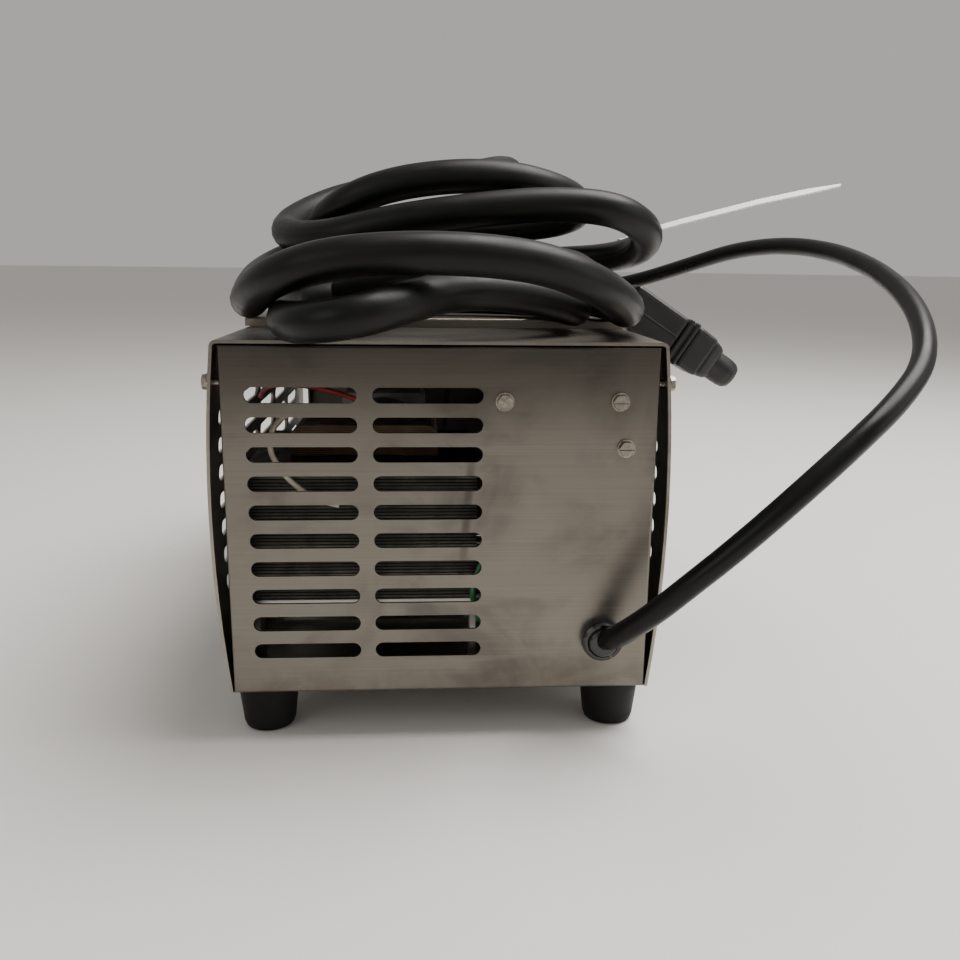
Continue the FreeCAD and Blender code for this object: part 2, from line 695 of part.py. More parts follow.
def connector(start):
    """Two-part moulded connector that leans over the right top edge of the case."""
    lean = Rotation(Vector(0, 1, 0), 33)
    along = Vector(1, 0, 0)
    shell = Part.makeBox(44, 24, 26, Vector(0, -12, -13))
    shell = shell.makeFillet(4, [e for e in shell.Edges if straight(e, "x")])
    collar = Part.makeCylinder(14, 6, Vector(44, 0, 0), along)
    cap = Part.makeCylinder(12.6, 16, Vector(50, 0, 0), along)
    nose = Part.makeCylinder(8.6, 16, Vector(66, 0, 0), along)
    nose = nose.makeFillet(4, [e for e in nose.Edges if e.Closed and e.CenterOfMass.x > 80])
    for label, pieces in (("heavy_connector", (shell, collar)), ("connector_cap", (cap, nose))):
        item = DOC.addObject("Part::Feature", label)
        item.Shape = pieces[0].fuse(pieces[1]).removeSplitter()
        item.Placement = FreeCAD.Placement(start, lean)
        node(item, label)


def cable_tie(rear):
    """Square head of the tie and its long free tail."""
    head = Part.makeBox(7, 5, 6, Vector(112, 166, 238))
    strips = [
        Part.makeLoft([strip_end(*low), strip_end(*high)], True)
        for low, high in zip(TIE_ROUTE, TIE_ROUTE[1:])
    ]
    item = DOC.addObject("Part::Feature", "cable_tie")
    item.Shape = head.fuse(strips).removeSplitter()
    item.Placement.Base = Vector(0, rear, 0)
    node(item, "cable_tie")


def strip_end(x, y, z, wide=1.4, thick=0.6):
    """Outline of the tie's tail where it passes the point (x, y, z)."""
    corners = [(-wide, -thick), (wide, -thick), (wide, thick), (-wide, thick), (-wide, -thick)]
    return Part.makePolygon([Vector(x, y + across, z + up) for across, up in corners])


def bushings():
    """Strain-relief bushing of the mains cord and threaded gland of the heavy cable."""
    body = new_body("cord_bushing")
    turned(body, [
        ("0", "-6"), ("7.7", "-6"), ("7.7", "0"), ("9.9", "0"), ("9.9", "3"), ("8.6", "7"),
        ("7.2", "bushing_out"), ("0", "bushing_out"),
    ])
    body.Placement.Rotation = Rotation(Vector(1, 0, 0), 90)
    place(body, "bushing_x", "rear_face", "bushing_z")
    node(body, "cord_bushing")
    body = new_body("cable_gland")
    turned(body, [
        ("0", "-14"), ("11", "-14"), ("11", "0"), ("16", "0"), ("16", "8"), ("14", "9"), ("14", "20"),
        ("11", "31"), ("10", "gland_out"), ("0", "gland_out"),
    ])
    body.Placement.Rotation = TURNED["Y"]
    place(body, "gland_x", "rear_face + case_length", "gland_z")
    node(body, "cable_gland")
    nut = less("gland_nut_cut", rod("gland_nut_blank", "15", "5", "gland_x",
               "rear_face + case_length - 2 * sheet_gauge - 5", "gland_z", "Y"),
               rod("gland_nut_bore", "11", "7", "gland_x",
                   "rear_face + case_length - 2 * sheet_gauge - 6", "gland_z", "Y"))
    node(nut, "gland_nut")


# ---- pump head on the pump panel

FRONT = "rear_face + case_length"
PANEL_BACK = f"{FRONT} - 2 * sheet_gauge"


def head_housing():
    left = "head_x - head_half"
    width = "2 * head_half"
    height = "head_rise + head_drop"
    bulk = block("housing_bulk", width, "head_depth", height, left, FRONT, "head_z - head_drop")
    eased = rounded("housing_eased", bulk, "5", lambda edge: straight(edge, "y"))
    cavity = block("housing_cavity", "2 * head_half - 14", "head_depth", "head_rise + head_drop - 14",
                   "head_x - head_half + 7", f"{FRONT} + back_wall", "head_z - head_drop + 7")
    bore = rod("housing_bore", "shaft_radius + 2", "20", "head_x", f"{FRONT} - 5", "head_z", "Y")
    shaft_hole = rod("lever_hole", "3 + running_gap", "20", "head_x + head_half - 12",
                     f"{FRONT} + 26", "head_z + 48", "X")
    blind = rod("lever_blind", "3 + running_gap", "9", "head_x - head_half + 3",
                f"{FRONT} + 26", "head_z + 48", "X")
    legs = [
        rod(f"leg_notch_{i}", "tube_radius + 0.3", "12", f"head_x + {side} * 29.25",
            f"{FRONT} + 26", "head_z - head_drop - 2")
        for i, side in enumerate(SIDES)
    ]
    node(less("housing_cut", eased, cavity, bore, shaft_hole, blind, *legs), "pump_head_housing")
    blank = rod("bush_blank", "shaft_radius + 2", "back_wall", "head_x", FRONT, "head_z", "Y")
    through = rod("bush_bore", "shaft_radius + running_gap", "20", "head_x", f"{FRONT} - 5",
                  "head_z", "Y")
    node(less("bush_cut", blank, through), "shaft_bushing")
    shoe = block("shoe_bulk", "2 * head_half - 14.6", "head_depth - back_wall - 4", "44",
                 "head_x - head_half + 7.3", f"{FRONT} + back_wall + 2", "head_z - 2")
    arch = rod("shoe_arch", "track_radius", "60", "head_x", FRONT, "head_z", "Y")
    relief = block("shoe_relief", "30", "60", "4.5", "head_x - 15", FRONT, "head_z + 38.5")
    node(less("shoe_cut", shoe, arch, relief), "track_shoe")


def rotor():
    y0 = f"{FRONT} + back_wall + 5"
    y1 = f"{y0} + plate_gauge"
    shaft = rod("shaft_rod", "shaft_radius", "2 * sheet_gauge + 24 + back_wall + 5", "head_x",
                f"{FRONT} - 2 * sheet_gauge - 24", "head_z", "Y")
    spacer = rod("rotor_hub", "9", "roller_length + 0.6", "head_x", y1, "head_z", "Y")
    back = rotor_plate("rotor_back", y0)
    front = rotor_plate("rotor_front", f"{y1} + roller_length + 0.6")
    node(shaft, "drive_shaft")
    node(back, "rotor_back_plate")
    node(spacer, "rotor_hub")
    node(front, "rotor_front_plate")
    pins = []
    for i in range(3):
        angle = f"{90 + 120 * i}"
        x = f"head_x + roller_orbit * cos({angle} deg)"
        z = f"head_z + roller_orbit * sin({angle} deg)"
        pins.append(rod(f"roller_pin_{i}", "pin_radius", "roller_length + 0.6 + 2 * plate_gauge",
                        x, y0, z, "Y"))
        sleeve = rod(f"roller_blank_{i}", "roller_radius", "roller_length", x, f"{y1} + 0.3", z, "Y")
        hole = rod(f"roller_hole_{i}", "pin_radius + running_gap", "roller_length + 2",
                   x, f"{y1} - 0.7", z, "Y")
        node(less(f"roller_cut_{i}", sleeve, hole), f"roller_{i + 1}")
    node(group("roller_pin_set", pins), "roller_pins")
    face = f"{y1} + roller_length + 0.6 + plate_gauge"
    bolt = rod("rotor_bolt_head", "6", "4", "head_x", face, "head_z", "Y")
    rim = number(face) + 3
    node(rounded("rotor_bolt_eased", bolt, "1", lambda e: e.Closed and e.CenterOfMass.y > rim),
         "rotor_bolt")


def rotor_plate(name, y):
    """Disc with three pin holes, patterned about its axis."""
    body = new_body(name)
    disc = sketch_on(body, "XY_Plane")
    draw_circle(disc, "0", "0", "plate_radius")
    pad(body, disc, "plate_gauge")
    DOC.recompute()
    hole = sketch_on(body, "XY_Plane")
    draw_circle(hole, "roller_orbit", "0", "pin_radius")
    cut = pocket(body, hole, "plate_gauge + 1", reverse=True)
    turn = body.newObject("PartDesign::PolarPattern", name + "_turn")
    turn.Originals = [cut]
    turn.Axis = (next(f for f in body.Origin.OriginFeatures if f.Role == "Z_Axis"), [""])
    turn.Angle = 360
    turn.Occurrences = 3
    body.Tip = turn
    body.Placement.Rotation = TURNED["Y"].multiply(Rotation(Vector(0, 0, 1), -90))
    place(body, "head_x", y, "head_z")
    return body


def pump_tube():
    """Tubing squeezed flat in the track, round again in its two legs."""
    flat_radius = number("track_radius - tube_squeeze - 0.3")
    squeeze, flat = number("tube_squeeze"), number("tube_flat")
    round_radius = number("tube_radius")
    leg = 29.25
    straight_drop, drop = 12, 28

    def section(x, z, thin, wide):
        shape = Part.Ellipse(Vector(), max(thin, wide), min(thin, wide)) if thin != wide else \
            Part.Circle(Vector(), Vector(0, 0, 1), wide)
        wire = Part.Wire(shape.toShape())
        wire.rotate(Vector(), Vector(0, 0, 1), 90)
        return wire.translated(Vector(x, 0, z))

    arc = Part.Face(section(flat_radius, 0, squeeze, flat)).revolve(Vector(), Vector(0, -1, 0), 180)
    pieces = [arc]
    for side in SIDES:
        flat_end = section(side * flat_radius, -straight_drop, squeeze, flat)
        round_end = section(side * leg, -drop, round_radius, round_radius)
        pieces.append(Part.Face(flat_end).extrude(Vector(0, 0, straight_drop)))
        pieces.append(Part.makeLoft([flat_end, round_end], True))
        pieces.append(Part.makeCylinder(round_radius, 47 - drop, Vector(side * leg, 0, -47)))
    item = DOC.addObject("Part::Feature", "pump_tube_solid")
    item.Shape = pieces[0].fuse(pieces[1:])
    item.Placement.Base = Vector(number("head_x"), number(FRONT) + 26, number("head_z"))
    node(item, "pump_tube")
    for side, name in zip(SIDES, ("left", "right")):
        body = new_body("tube_connector_" + name)
        turned(body, [
            ("0", "0"), ("6.5", "0"), ("6.5", "-4"), ("3.4", "-4"), ("3.4", "-7"), ("4.3", "-7"),
            ("3.4", "-11"), ("4.3", "-11"), ("3.4", "-15"), ("4.3", "-15"), ("3.2", "-19"), ("0", "-19"),
        ])
        place(body, f"head_x + {side} * {leg}", f"{FRONT} + 26", "head_z - 47")
        node(body, "tube_connector_" + name)


def door():
    """Clear door on a pinned hinge along the head's left side."""
    y = f"{FRONT} + head_depth + door_gap"
    x = "head_x - head_half"
    low = "head_z - head_drop"
    high = "head_rise + head_drop"
    pin_x, pin_y = f"{x} - 5", f"{y} + door_gauge / 2"
    plate = block("door_plate", "2 * head_half", "door_gauge", high, x, y, low)
    eased = rounded("door_eased", plate, "4",
                    lambda edge: straight(edge, "y") and edge.CenterOfMass.x > number("head_x"))
    knuckle = rod("door_knuckle", "hinge_radius", "40", pin_x, pin_y, f"{low} + 31")
    web = block("door_web", "6", "door_gauge - 1", "40", pin_x, f"{y} + 0.5", f"{low} + 31")
    bore = rod("door_bore", "hinge_pin_radius + running_gap", "60", pin_x, pin_y, f"{low} + 20")
    tab = block("door_tab", "9", "door_gauge - 1", "20", "head_x + head_half - 1", f"{y} + 0.5",
                "head_z - 35")
    node(less("door_cut", joined("door_joined", eased, knuckle, web, tab), bore), "head_door")
    ears, bores = [], []
    for i, start in enumerate(("12", "71.6")):
        ears.append(rod(f"ear_{i}", "hinge_radius", "18.6", pin_x, pin_y, f"{low} + {start}"))
        ears.append(block(f"ear_arm_{i}", "4", "18", "18.6", f"{x} - 4", f"{y} - 18.4", f"{low} + {start}"))
        bores.append(rod(f"ear_bore_{i}", "hinge_pin_radius", "30", pin_x, pin_y, f"{low} + {start} - 4"))
    cuts = [
        less(f"ear_cut_{i}", joined(f"ear_joined_{i}", ears[2 * i], ears[2 * i + 1]), bores[i])
        for i in range(2)
    ]
    node(group("ear_pair", cuts), "hinge_brackets")
    node(rod("hinge_pin_rod", "hinge_pin_radius", "82", pin_x, pin_y, f"{low} + 10"), "hinge_pin")


def lever():
    x = "head_x + head_half"
    y, z = f"{FRONT} + 26", "head_z + 48"
    shaft = rod("lever_shaft", "3", "2 * head_half", "head_x - head_half + 4", y, z, "X")
    hub = rod("lever_hub", "8", "5", f"{x} + 0.5", y, z, "X")
    arm = block("lever_arm", "5", "9", "44", f"{x} + 0.5", f"{y} - 4.5", f"{z} - 44")
    knob = rod("lever_tip", "7", "9", f"{x} + 0.5", y, f"{z} - 46", "X")
    node(joined("lever_joined", shaft, hub, arm, knob), "occlusion_lever")
    cam = less("cam_cut", rod("cam_disc", "6.5", "18", "head_x - 9", y, f"{z} - 2.5", "X"),
               rod("cam_bore", "3", "30", "head_x - 15", y, z, "X"))
    node(cam, "occlusion_cam")


# ---- controls

def speed_control():
    """Fluted knob on the shaft of a potentiometer behind the panel."""
    body = new_body("speed_knob")
    turned(body, [
        ("0", "-2.8"), ("3", "-2.8"), ("3", "0.5"), ("knob_radius + 2", "0.5"),
        ("knob_radius + 2", "3"), ("knob_radius", "5"), ("knob_radius - 2", "knob_height - 1"),
        ("knob_radius - 3", "knob_height"), ("0", "knob_height"),
    ])
    DOC.recompute()
    grip = sketch_on(body, "XY_Plane", "5")
    draw_circle(grip, "knob_radius + 1.4", "0", "2.6")
    cut = pocket(body, grip, "knob_height + 5", reverse=True)
    turn = body.newObject("PartDesign::PolarPattern", "knob_grips")
    turn.Originals = [cut]
    turn.Axis = (next(f for f in body.Origin.OriginFeatures if f.Role == "Z_Axis"), [""])
    turn.Angle = 360
    turn.Occurrences = 12
    body.Tip = turn
    body.Placement.Rotation = TURNED["Y"]
    place(body, "knob_x", FRONT, "knob_z")
    node(body, "speed_knob")
    can = rod("pot_can", "11", "12", "knob_x", f"{PANEL_BACK} - 12", "knob_z", "Y")
    node(can, "speed_potentiometer")


def power_switch():
    """Snap-in frame and the rocker that turns in it, cut from a disc round its pivot."""
    left, low = "switch_x - 12", "switch_z - 8.5"
    frame = block("switch_flange", "24", "2.5", "17", left, FRONT, low)
    barrel = block("switch_barrel", "19", "21", "12.4", "switch_x - 9.5", f"{FRONT} - 20.5",
                   "switch_z - 6.2")
    hollow = block("switch_hollow", "16.4", "14", "10", "switch_x - 8.2", f"{FRONT} - 8",
                   "switch_z - 5")
    node(less("switch_cut", joined("switch_joined", frame, barrel), hollow), "power_switch_frame")
    low = "switch_z - 6"
    back = block("rocker_back", "20", "20", "12", "switch_x - 10", f"{FRONT} - 25", low)
    front = block("rocker_front", "22", "20", "12", "switch_x - 10", f"{FRONT} + 4.1", low)
    front.Placement.Rotation = Rotation(Vector(0, 0, 1), 12)
    disc = rod("rocker_disc", "8", "9.4", "switch_x", f"{FRONT} + 1", "switch_z - 4.7")
    node(less("rocker_cut", disc, back, front), "power_rocker")


def direction_switch():
    """Bat-handled toggle on a cross pin, in its threaded bush."""
    x, z = "toggle_x", "switch_z"
    stem = rod("toggle_stem", "6", "8", x, f"{FRONT} - 2 * sheet_gauge", z, "Y")
    nut = rod("toggle_nut", "8", "2.4", x, FRONT, z, "Y")
    case = block("toggle_case", "13", "12", "20", f"{x} - 6.5", f"{PANEL_BACK} - 12", f"{z} - 10")
    well = cone("toggle_well", "3", "4.6", "7", x, f"{FRONT} - 2", z, "Y")
    node(less("toggle_cut", joined("toggle_joined", stem, nut, case), well), "direction_switch_base")
    bat = cone("toggle_bat", "1.6", "2.7", "17", x, f"{FRONT} + 0.5", z, "Y")
    tip = number(FRONT) + 10
    eased = rounded("toggle_eased", bat, "1.6", lambda e: e.Closed and e.CenterOfMass.y > tip)
    pin = rod("toggle_pin", "1.2", "5", f"{x} - 2.5", f"{FRONT} + 0.5", z, "X")
    node(joined("toggle_handle", eased, pin), "direction_toggle")


def pilot_lamp():
    lens = rod("lamp_lens", "6", "4", "toggle_x", FRONT, "lamp_z", "Y")
    neck = rod("lamp_neck", "4.5", "22", "toggle_x", f"{FRONT} - 22", "lamp_z", "Y")
    rim = number(FRONT) + 3
    eased = rounded("lamp_eased", lens, "2", lambda e: e.Closed and e.CenterOfMass.y > rim)
    node(joined("lamp_joined", eased, neck), "pilot_lamp")


def write_parts():
    DOC.recompute()
    failed = [o.Label for o in DOC.Objects if {"Invalid", "Error"} & set(o.State)]
    if failed:
        raise ValueError(f"not built: {failed}")
    for item in NODES:
        if item.Shape.isNull() or not item.Shape.isValid():
            raise ValueError(f"{item.Label} has no valid shape")
    os.makedirs("parts", exist_ok=True)
    for item in NODES:
        item.Shape.exportStep(f"parts/{item.Label}.step")
    print(f"{len(NODES)} parts written")


fill_sheet()
chassis()
pump_panel()
cover()
tray()
for corner, (side, y) in CORNERS.items():
    foot(corner, side, y)
fasteners()
transformer()
drive()
wires()
bushings()
cords()
head_housing()
rotor()
pump_tube()
door()
lever()
speed_control()
power_switch()
direction_switch()
pilot_lamp()
write_parts()
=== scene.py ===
import math

import bmesh
import bpy
from mathutils import Matrix, Vector


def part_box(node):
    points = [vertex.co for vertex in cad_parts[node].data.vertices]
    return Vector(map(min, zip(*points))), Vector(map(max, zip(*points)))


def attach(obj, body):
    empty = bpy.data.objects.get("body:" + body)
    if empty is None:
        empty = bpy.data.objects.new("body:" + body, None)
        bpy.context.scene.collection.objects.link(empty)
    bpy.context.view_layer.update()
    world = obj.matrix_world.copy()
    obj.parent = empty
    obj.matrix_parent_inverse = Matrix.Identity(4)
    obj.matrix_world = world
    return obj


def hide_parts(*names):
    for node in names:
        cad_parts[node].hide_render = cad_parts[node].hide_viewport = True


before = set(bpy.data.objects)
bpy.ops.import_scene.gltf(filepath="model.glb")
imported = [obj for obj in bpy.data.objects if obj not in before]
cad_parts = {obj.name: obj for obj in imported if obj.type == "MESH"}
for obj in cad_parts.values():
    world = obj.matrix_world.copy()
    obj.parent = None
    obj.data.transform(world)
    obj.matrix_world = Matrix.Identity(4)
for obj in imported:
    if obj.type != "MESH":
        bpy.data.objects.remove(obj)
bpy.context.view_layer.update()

# Studio. A wide pale floor, one large soft lamp over the bench and two weak fill lamps.
# The camera stands a little left of the cord panel and looks slightly down on it.
FLOOR_RADIUS = 30
LAMP_AIM = Vector((0, -0.05, 0.15))
LAMPS = (
    ("bench_lamp", (0.65, 0.0, 1.5), 1.3, 46, (1.0, 0.975, 0.94)),
    ("left_fill", (-1.4, -1.3, 0.9), 1.2, 4, (1.0, 0.98, 0.95)),
    ("right_fill", (1.6, -0.6, 0.7), 1.2, 4, (0.98, 0.98, 1.0)),
)
CAMERA_PLACE = (-0.0106, -0.6156, 0.2282)
CAMERA_YAW, CAMERA_PITCH, CAMERA_ROLL = math.radians(3.82), math.radians(13.08), math.radians(0.70)
CAMERA_LENS = 35.03
ROOM_COLOUR, ROOM_STRENGTH = (0.80, 0.78, 0.75, 1), 0.58


def floor_finish():
    paint = bpy.data.materials.new("pale_floor")
    paint.use_nodes = True
    shader = paint.node_tree.nodes["Principled BSDF"]
    shader.inputs["Base Color"].default_value = (0.72, 0.70, 0.67, 1)
    shader.inputs["Roughness"].default_value = 0.8
    return paint


def add_floor(radius):
    shape = bmesh.new()
    bmesh.ops.create_circle(shape, cap_ends=True, segments=96, radius=radius)
    mesh = bpy.data.meshes.new("floor")
    shape.to_mesh(mesh)
    shape.free()
    floor = bpy.data.objects.new("floor", mesh)
    floor.data.materials.append(floor_finish())
    bpy.context.scene.collection.objects.link(floor)


def add_lamp(name, place, size, watts, colour):
    lamp = bpy.data.lights.new(name, "AREA")
    lamp.shape = "DISK"
    lamp.size = size
    lamp.energy = watts
    lamp.color = colour
    stand = bpy.data.objects.new(name, lamp)
    stand.location = place
    aim = LAMP_AIM - Vector(place)
    stand.rotation_euler = aim.to_track_quat("-Z", "Y").to_euler()
    bpy.context.scene.collection.objects.link(stand)


def add_camera(place, yaw, pitch, roll, lens):
    ahead = Vector((math.sin(yaw) * math.cos(pitch), math.cos(yaw) * math.cos(pitch),
                    -math.sin(pitch)))
    level = Vector((math.cos(yaw), -math.sin(yaw), 0))
    upright = level.cross(ahead)
    right = level * math.cos(roll) + upright * math.sin(roll)
    up = upright * math.cos(roll) - level * math.sin(roll)
    optics = bpy.data.cameras.new("camera")
    optics.lens = lens
    optics.sensor_width = 36
    optics.clip_start = 0.01
    camera = bpy.data.objects.new("camera", optics)
    turn = Matrix((right, up, -ahead)).transposed().to_4x4()
    camera.matrix_world = Matrix.Translation(place) @ turn
    bpy.context.scene.collection.objects.link(camera)
    bpy.context.scene.camera = camera


def add_world():
    world = bpy.data.worlds.new("soft_room")
    world.use_nodes = True
    background = world.node_tree.nodes["Background"]
    background.inputs["Color"].default_value = ROOM_COLOUR
    background.inputs["Strength"].default_value = ROOM_STRENGTH
    bpy.context.scene.world = world


add_floor(FLOOR_RADIUS)
for lamp_row in LAMPS:
    add_lamp(*lamp_row)
add_camera(CAMERA_PLACE, CAMERA_YAW, CAMERA_PITCH, CAMERA_ROLL, CAMERA_LENS)
add_world()


# Sheet steel of the case: pan, pump panel, cover and the raised top tray.
# Bent from brushed stainless sheet whose grain runs level round every face.
def new_effect(name, inputs, outputs):
    tree = bpy.data.node_groups.new(name, "ShaderNodeTree")
    for socket, value in inputs.items():
        made = tree.interface.new_socket(socket, in_out="INPUT", socket_type="NodeSocketFloat")
        made.default_value = value
    for socket in outputs:
        tree.interface.new_socket(socket, in_out="OUTPUT", socket_type="NodeSocketFloat")
    return tree, tree.nodes.new("NodeGroupInput"), tree.nodes.new("NodeGroupOutput")


def add_node(tree, kind, **settings):
    made = tree.nodes.new("ShaderNode" + kind)
    for name, value in settings.items():
        setattr(made, name, value)
    return made


def feed(tree, target, source):
    """Sets a socket to a number, or links it to another socket."""
    if isinstance(source, bpy.types.NodeSocket):
        tree.links.new(source, target)
    else:
        target.default_value = source


def math_node(tree, operation, *values, clamp=False):
    made = add_node(tree, "Math", operation=operation, use_clamp=clamp)
    for socket, value in zip(made.inputs, values):
        feed(tree, socket, value)
    return made.outputs[0]


def spread(tree, value, low, high, to_low=0.0, to_high=1.0):
    made = add_node(tree, "MapRange", interpolation_type="SMOOTHSTEP")
    for socket, number in zip(("Value", "From Min", "From Max", "To Min", "To Max"),
                              (value, low, high, to_low, to_high)):
        feed(tree, made.inputs[socket], number)
    return made.outputs["Result"]


def noise(tree, vector, scale, detail=2.0, rough=0.5, warp=0.0):
    made = add_node(tree, "TexNoise")
    feed(tree, made.inputs["Vector"], vector)
    for socket, value in (("Scale", scale), ("Detail", detail), ("Roughness", rough),
                          ("Distortion", warp)):
        feed(tree, made.inputs[socket], value)
    return made.outputs["Fac"]


def stretched(tree, vector, x, y, z):
    factors = add_node(tree, "CombineXYZ")
    for socket, value in zip(factors.inputs, (x, y, z)):
        feed(tree, socket, value)
    made = add_node(tree, "VectorMath", operation="MULTIPLY")
    feed(tree, made.inputs[0], vector)
    feed(tree, made.inputs[1], factors.outputs[0])
    return made.outputs[0]


def object_place(tree):
    """The shaded point in the object's own metres."""
    return add_node(tree, "TexCoord").outputs["Object"]


def split(tree, vector):
    """The X, Y and Z outputs of a vector."""
    parts = add_node(tree, "SeparateXYZ")
    feed(tree, parts.inputs[0], vector)
    return parts.outputs


SIDE_FACING = 0.7


def brushed_effect():
    """Fine level lines, which turn from X to Y on the faces that look along X."""
    tree, entry, leave = new_effect("brushed_grain", {"Fineness": 1500.0, "Run": 8.0},
                                    ("Mask", "Height"))
    place = object_place(tree)
    fine, run = entry.outputs["Fineness"], entry.outputs["Run"]
    along_x = noise(tree, stretched(tree, place, run, fine, fine), 1.0, 3.0, 0.65)
    along_y = noise(tree, stretched(tree, place, fine, run, fine), 1.0, 3.0, 0.65)
    facing = split(tree, add_node(tree, "NewGeometry").outputs["Normal"])
    side = math_node(tree, "GREATER_THAN", math_node(tree, "ABSOLUTE", facing["X"]), SIDE_FACING)
    both = add_node(tree, "Mix", data_type="FLOAT")
    feed(tree, both.inputs["Factor"], side)
    feed(tree, both.inputs["A"], along_x)
    feed(tree, both.inputs["B"], along_y)
    feed(tree, leave.inputs["Mask"], spread(tree, both.outputs["Result"], 0.25, 0.75))
    feed(tree, leave.inputs["Height"], both.outputs["Result"])
    return tree


def handled_effect():
    """Soft blotches and wiped bands that hands and rags leave on sheet metal."""
    tree, entry, leave = new_effect("handled_smudge", {"Size": 16.0}, ("Mask", "Height"))
    place = object_place(tree)
    cloud = noise(tree, place, entry.outputs["Size"], 5.0, 0.6, 0.6)
    wipe = noise(tree, stretched(tree, place, 7.0, 7.0, 30.0), 1.0, 4.0, 0.6, 1.2)
    both = math_node(tree, "MULTIPLY", spread(tree, cloud, 0.40, 0.68),
                     spread(tree, wipe, 0.35, 0.62))
    feed(tree, leave.inputs["Mask"], both)
    feed(tree, leave.inputs["Height"], cloud)
    return tree


def stipple_effect():
    """Fine spark-eroded texture of moulded plastic, rubber and cast metal."""
    tree, entry, leave = new_effect("fine_stipple", {"Fineness": 1500.0, "Cloud": 40.0},
                                    ("Mask", "Height"))
    place = object_place(tree)
    grit = noise(tree, place, entry.outputs["Fineness"], 2.0, 0.6)
    cloud = noise(tree, place, entry.outputs["Cloud"], 4.0, 0.6, 0.4)
    feed(tree, leave.inputs["Mask"], spread(tree, cloud, 0.3, 0.7))
    feed(tree, leave.inputs["Height"], grit)
    return tree


BRUSHED, HANDLED, STIPPLE = brushed_effect(), handled_effect(), stipple_effect()


def use_effect(tree, effect, **values):
    made = add_node(tree, "Group", node_tree=effect)
    for name, value in values.items():
        made.inputs[name].default_value = value
    return made.outputs["Mask"], made.outputs["Height"]


def blend_colours(tree, factor, first, second):
    made = add_node(tree, "Mix", data_type="RGBA")
    feed(tree, made.inputs["Factor"], factor)
    for socket, colour in ((made.inputs[6], first), (made.inputs[7], second)):
        feed(tree, socket, (*colour, 1) if isinstance(colour, tuple) else colour)
    return made.outputs[2]


def blank_material(name, plain):
    material = bpy.data.materials.new(name)
    material.use_nodes = True
    shader = material.node_tree.nodes["Principled BSDF"]
    for socket, value in plain.items():
        shader.inputs[socket.replace("_", " ")].default_value = value
    return material, material.node_tree, shader


def dent(tree, shader, height, strength, depth):
    relief = add_node(tree, "Bump")
    feed(tree, relief.inputs["Strength"], strength)
    feed(tree, relief.inputs["Distance"], depth)
    feed(tree, relief.inputs["Height"], height)
    feed(tree, shader.inputs["Normal"], relief.outputs["Normal"])


def finish(name, dark, light, roughness, effect=STIPPLE, bump=(0.25, 0.0001), values=None,
           **plain):
    """A finish whose colour and roughness wander between two ends, with a fine relief."""
    material, tree, shader = blank_material(name, plain)
    mask, height = use_effect(tree, effect, **(values or {}))
    feed(tree, shader.inputs["Base Color"], blend_colours(tree, mask, dark, light))
    feed(tree, shader.inputs["Roughness"], spread(tree, mask, 0.0, 1.0, *roughness))
    dent(tree, shader, height, *bump)
    return material


def paint(material, *names):
    for name in names:
        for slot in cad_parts[name].material_slots:
            slot.material = material


STEEL_BRIGHT, STEEL_DULL = (0.555, 0.51, 0.445), (0.47, 0.43, 0.37)
STEEL_SMUDGE, STEEL_STAIN = (0.20, 0.18, 0.16), (0.14, 0.115, 0.09)
# The dark colour first on the next line and the heights below paint the cable coil's shadow as a
# darker band at the top of the steel; the other colour is a rub mark.
STEEL_PAINTED_SHADOW, STEEL_RUB = (0.085, 0.068, 0.058), (0.05, 0.048, 0.045)
STAIN_FADE = 0.016
PAINTED_SHADOW_HEIGHTS = (0.140, 0.192)
RUB_HALF_WIDTH, RUB_FOOT, RUB_HEAD = (0.0030, 0.0006), (0.075, 0.11), (0.148, 0.13)


def overlay(tree, mask, share, colour, over):
    """Lays a colour over another one where the mask is bright, at most by the given share."""
    return blend_colours(tree, math_node(tree, "MULTIPLY", mask, share), colour, over)


def rub_mark(tree, x, z):
    """Mask of one long mark that leans a little to the right as it rises."""
    lean = math_node(tree, "MULTIPLY_ADD", z, 0.07, 0.0035)
    away = math_node(tree, "ABSOLUTE", math_node(tree, "SUBTRACT", x, lean))
    rub = math_node(tree, "MULTIPLY", spread(tree, away, *RUB_HALF_WIDTH),
                    spread(tree, z, *RUB_FOOT))
    return math_node(tree, "MULTIPLY", rub, spread(tree, z, *RUB_HEAD))


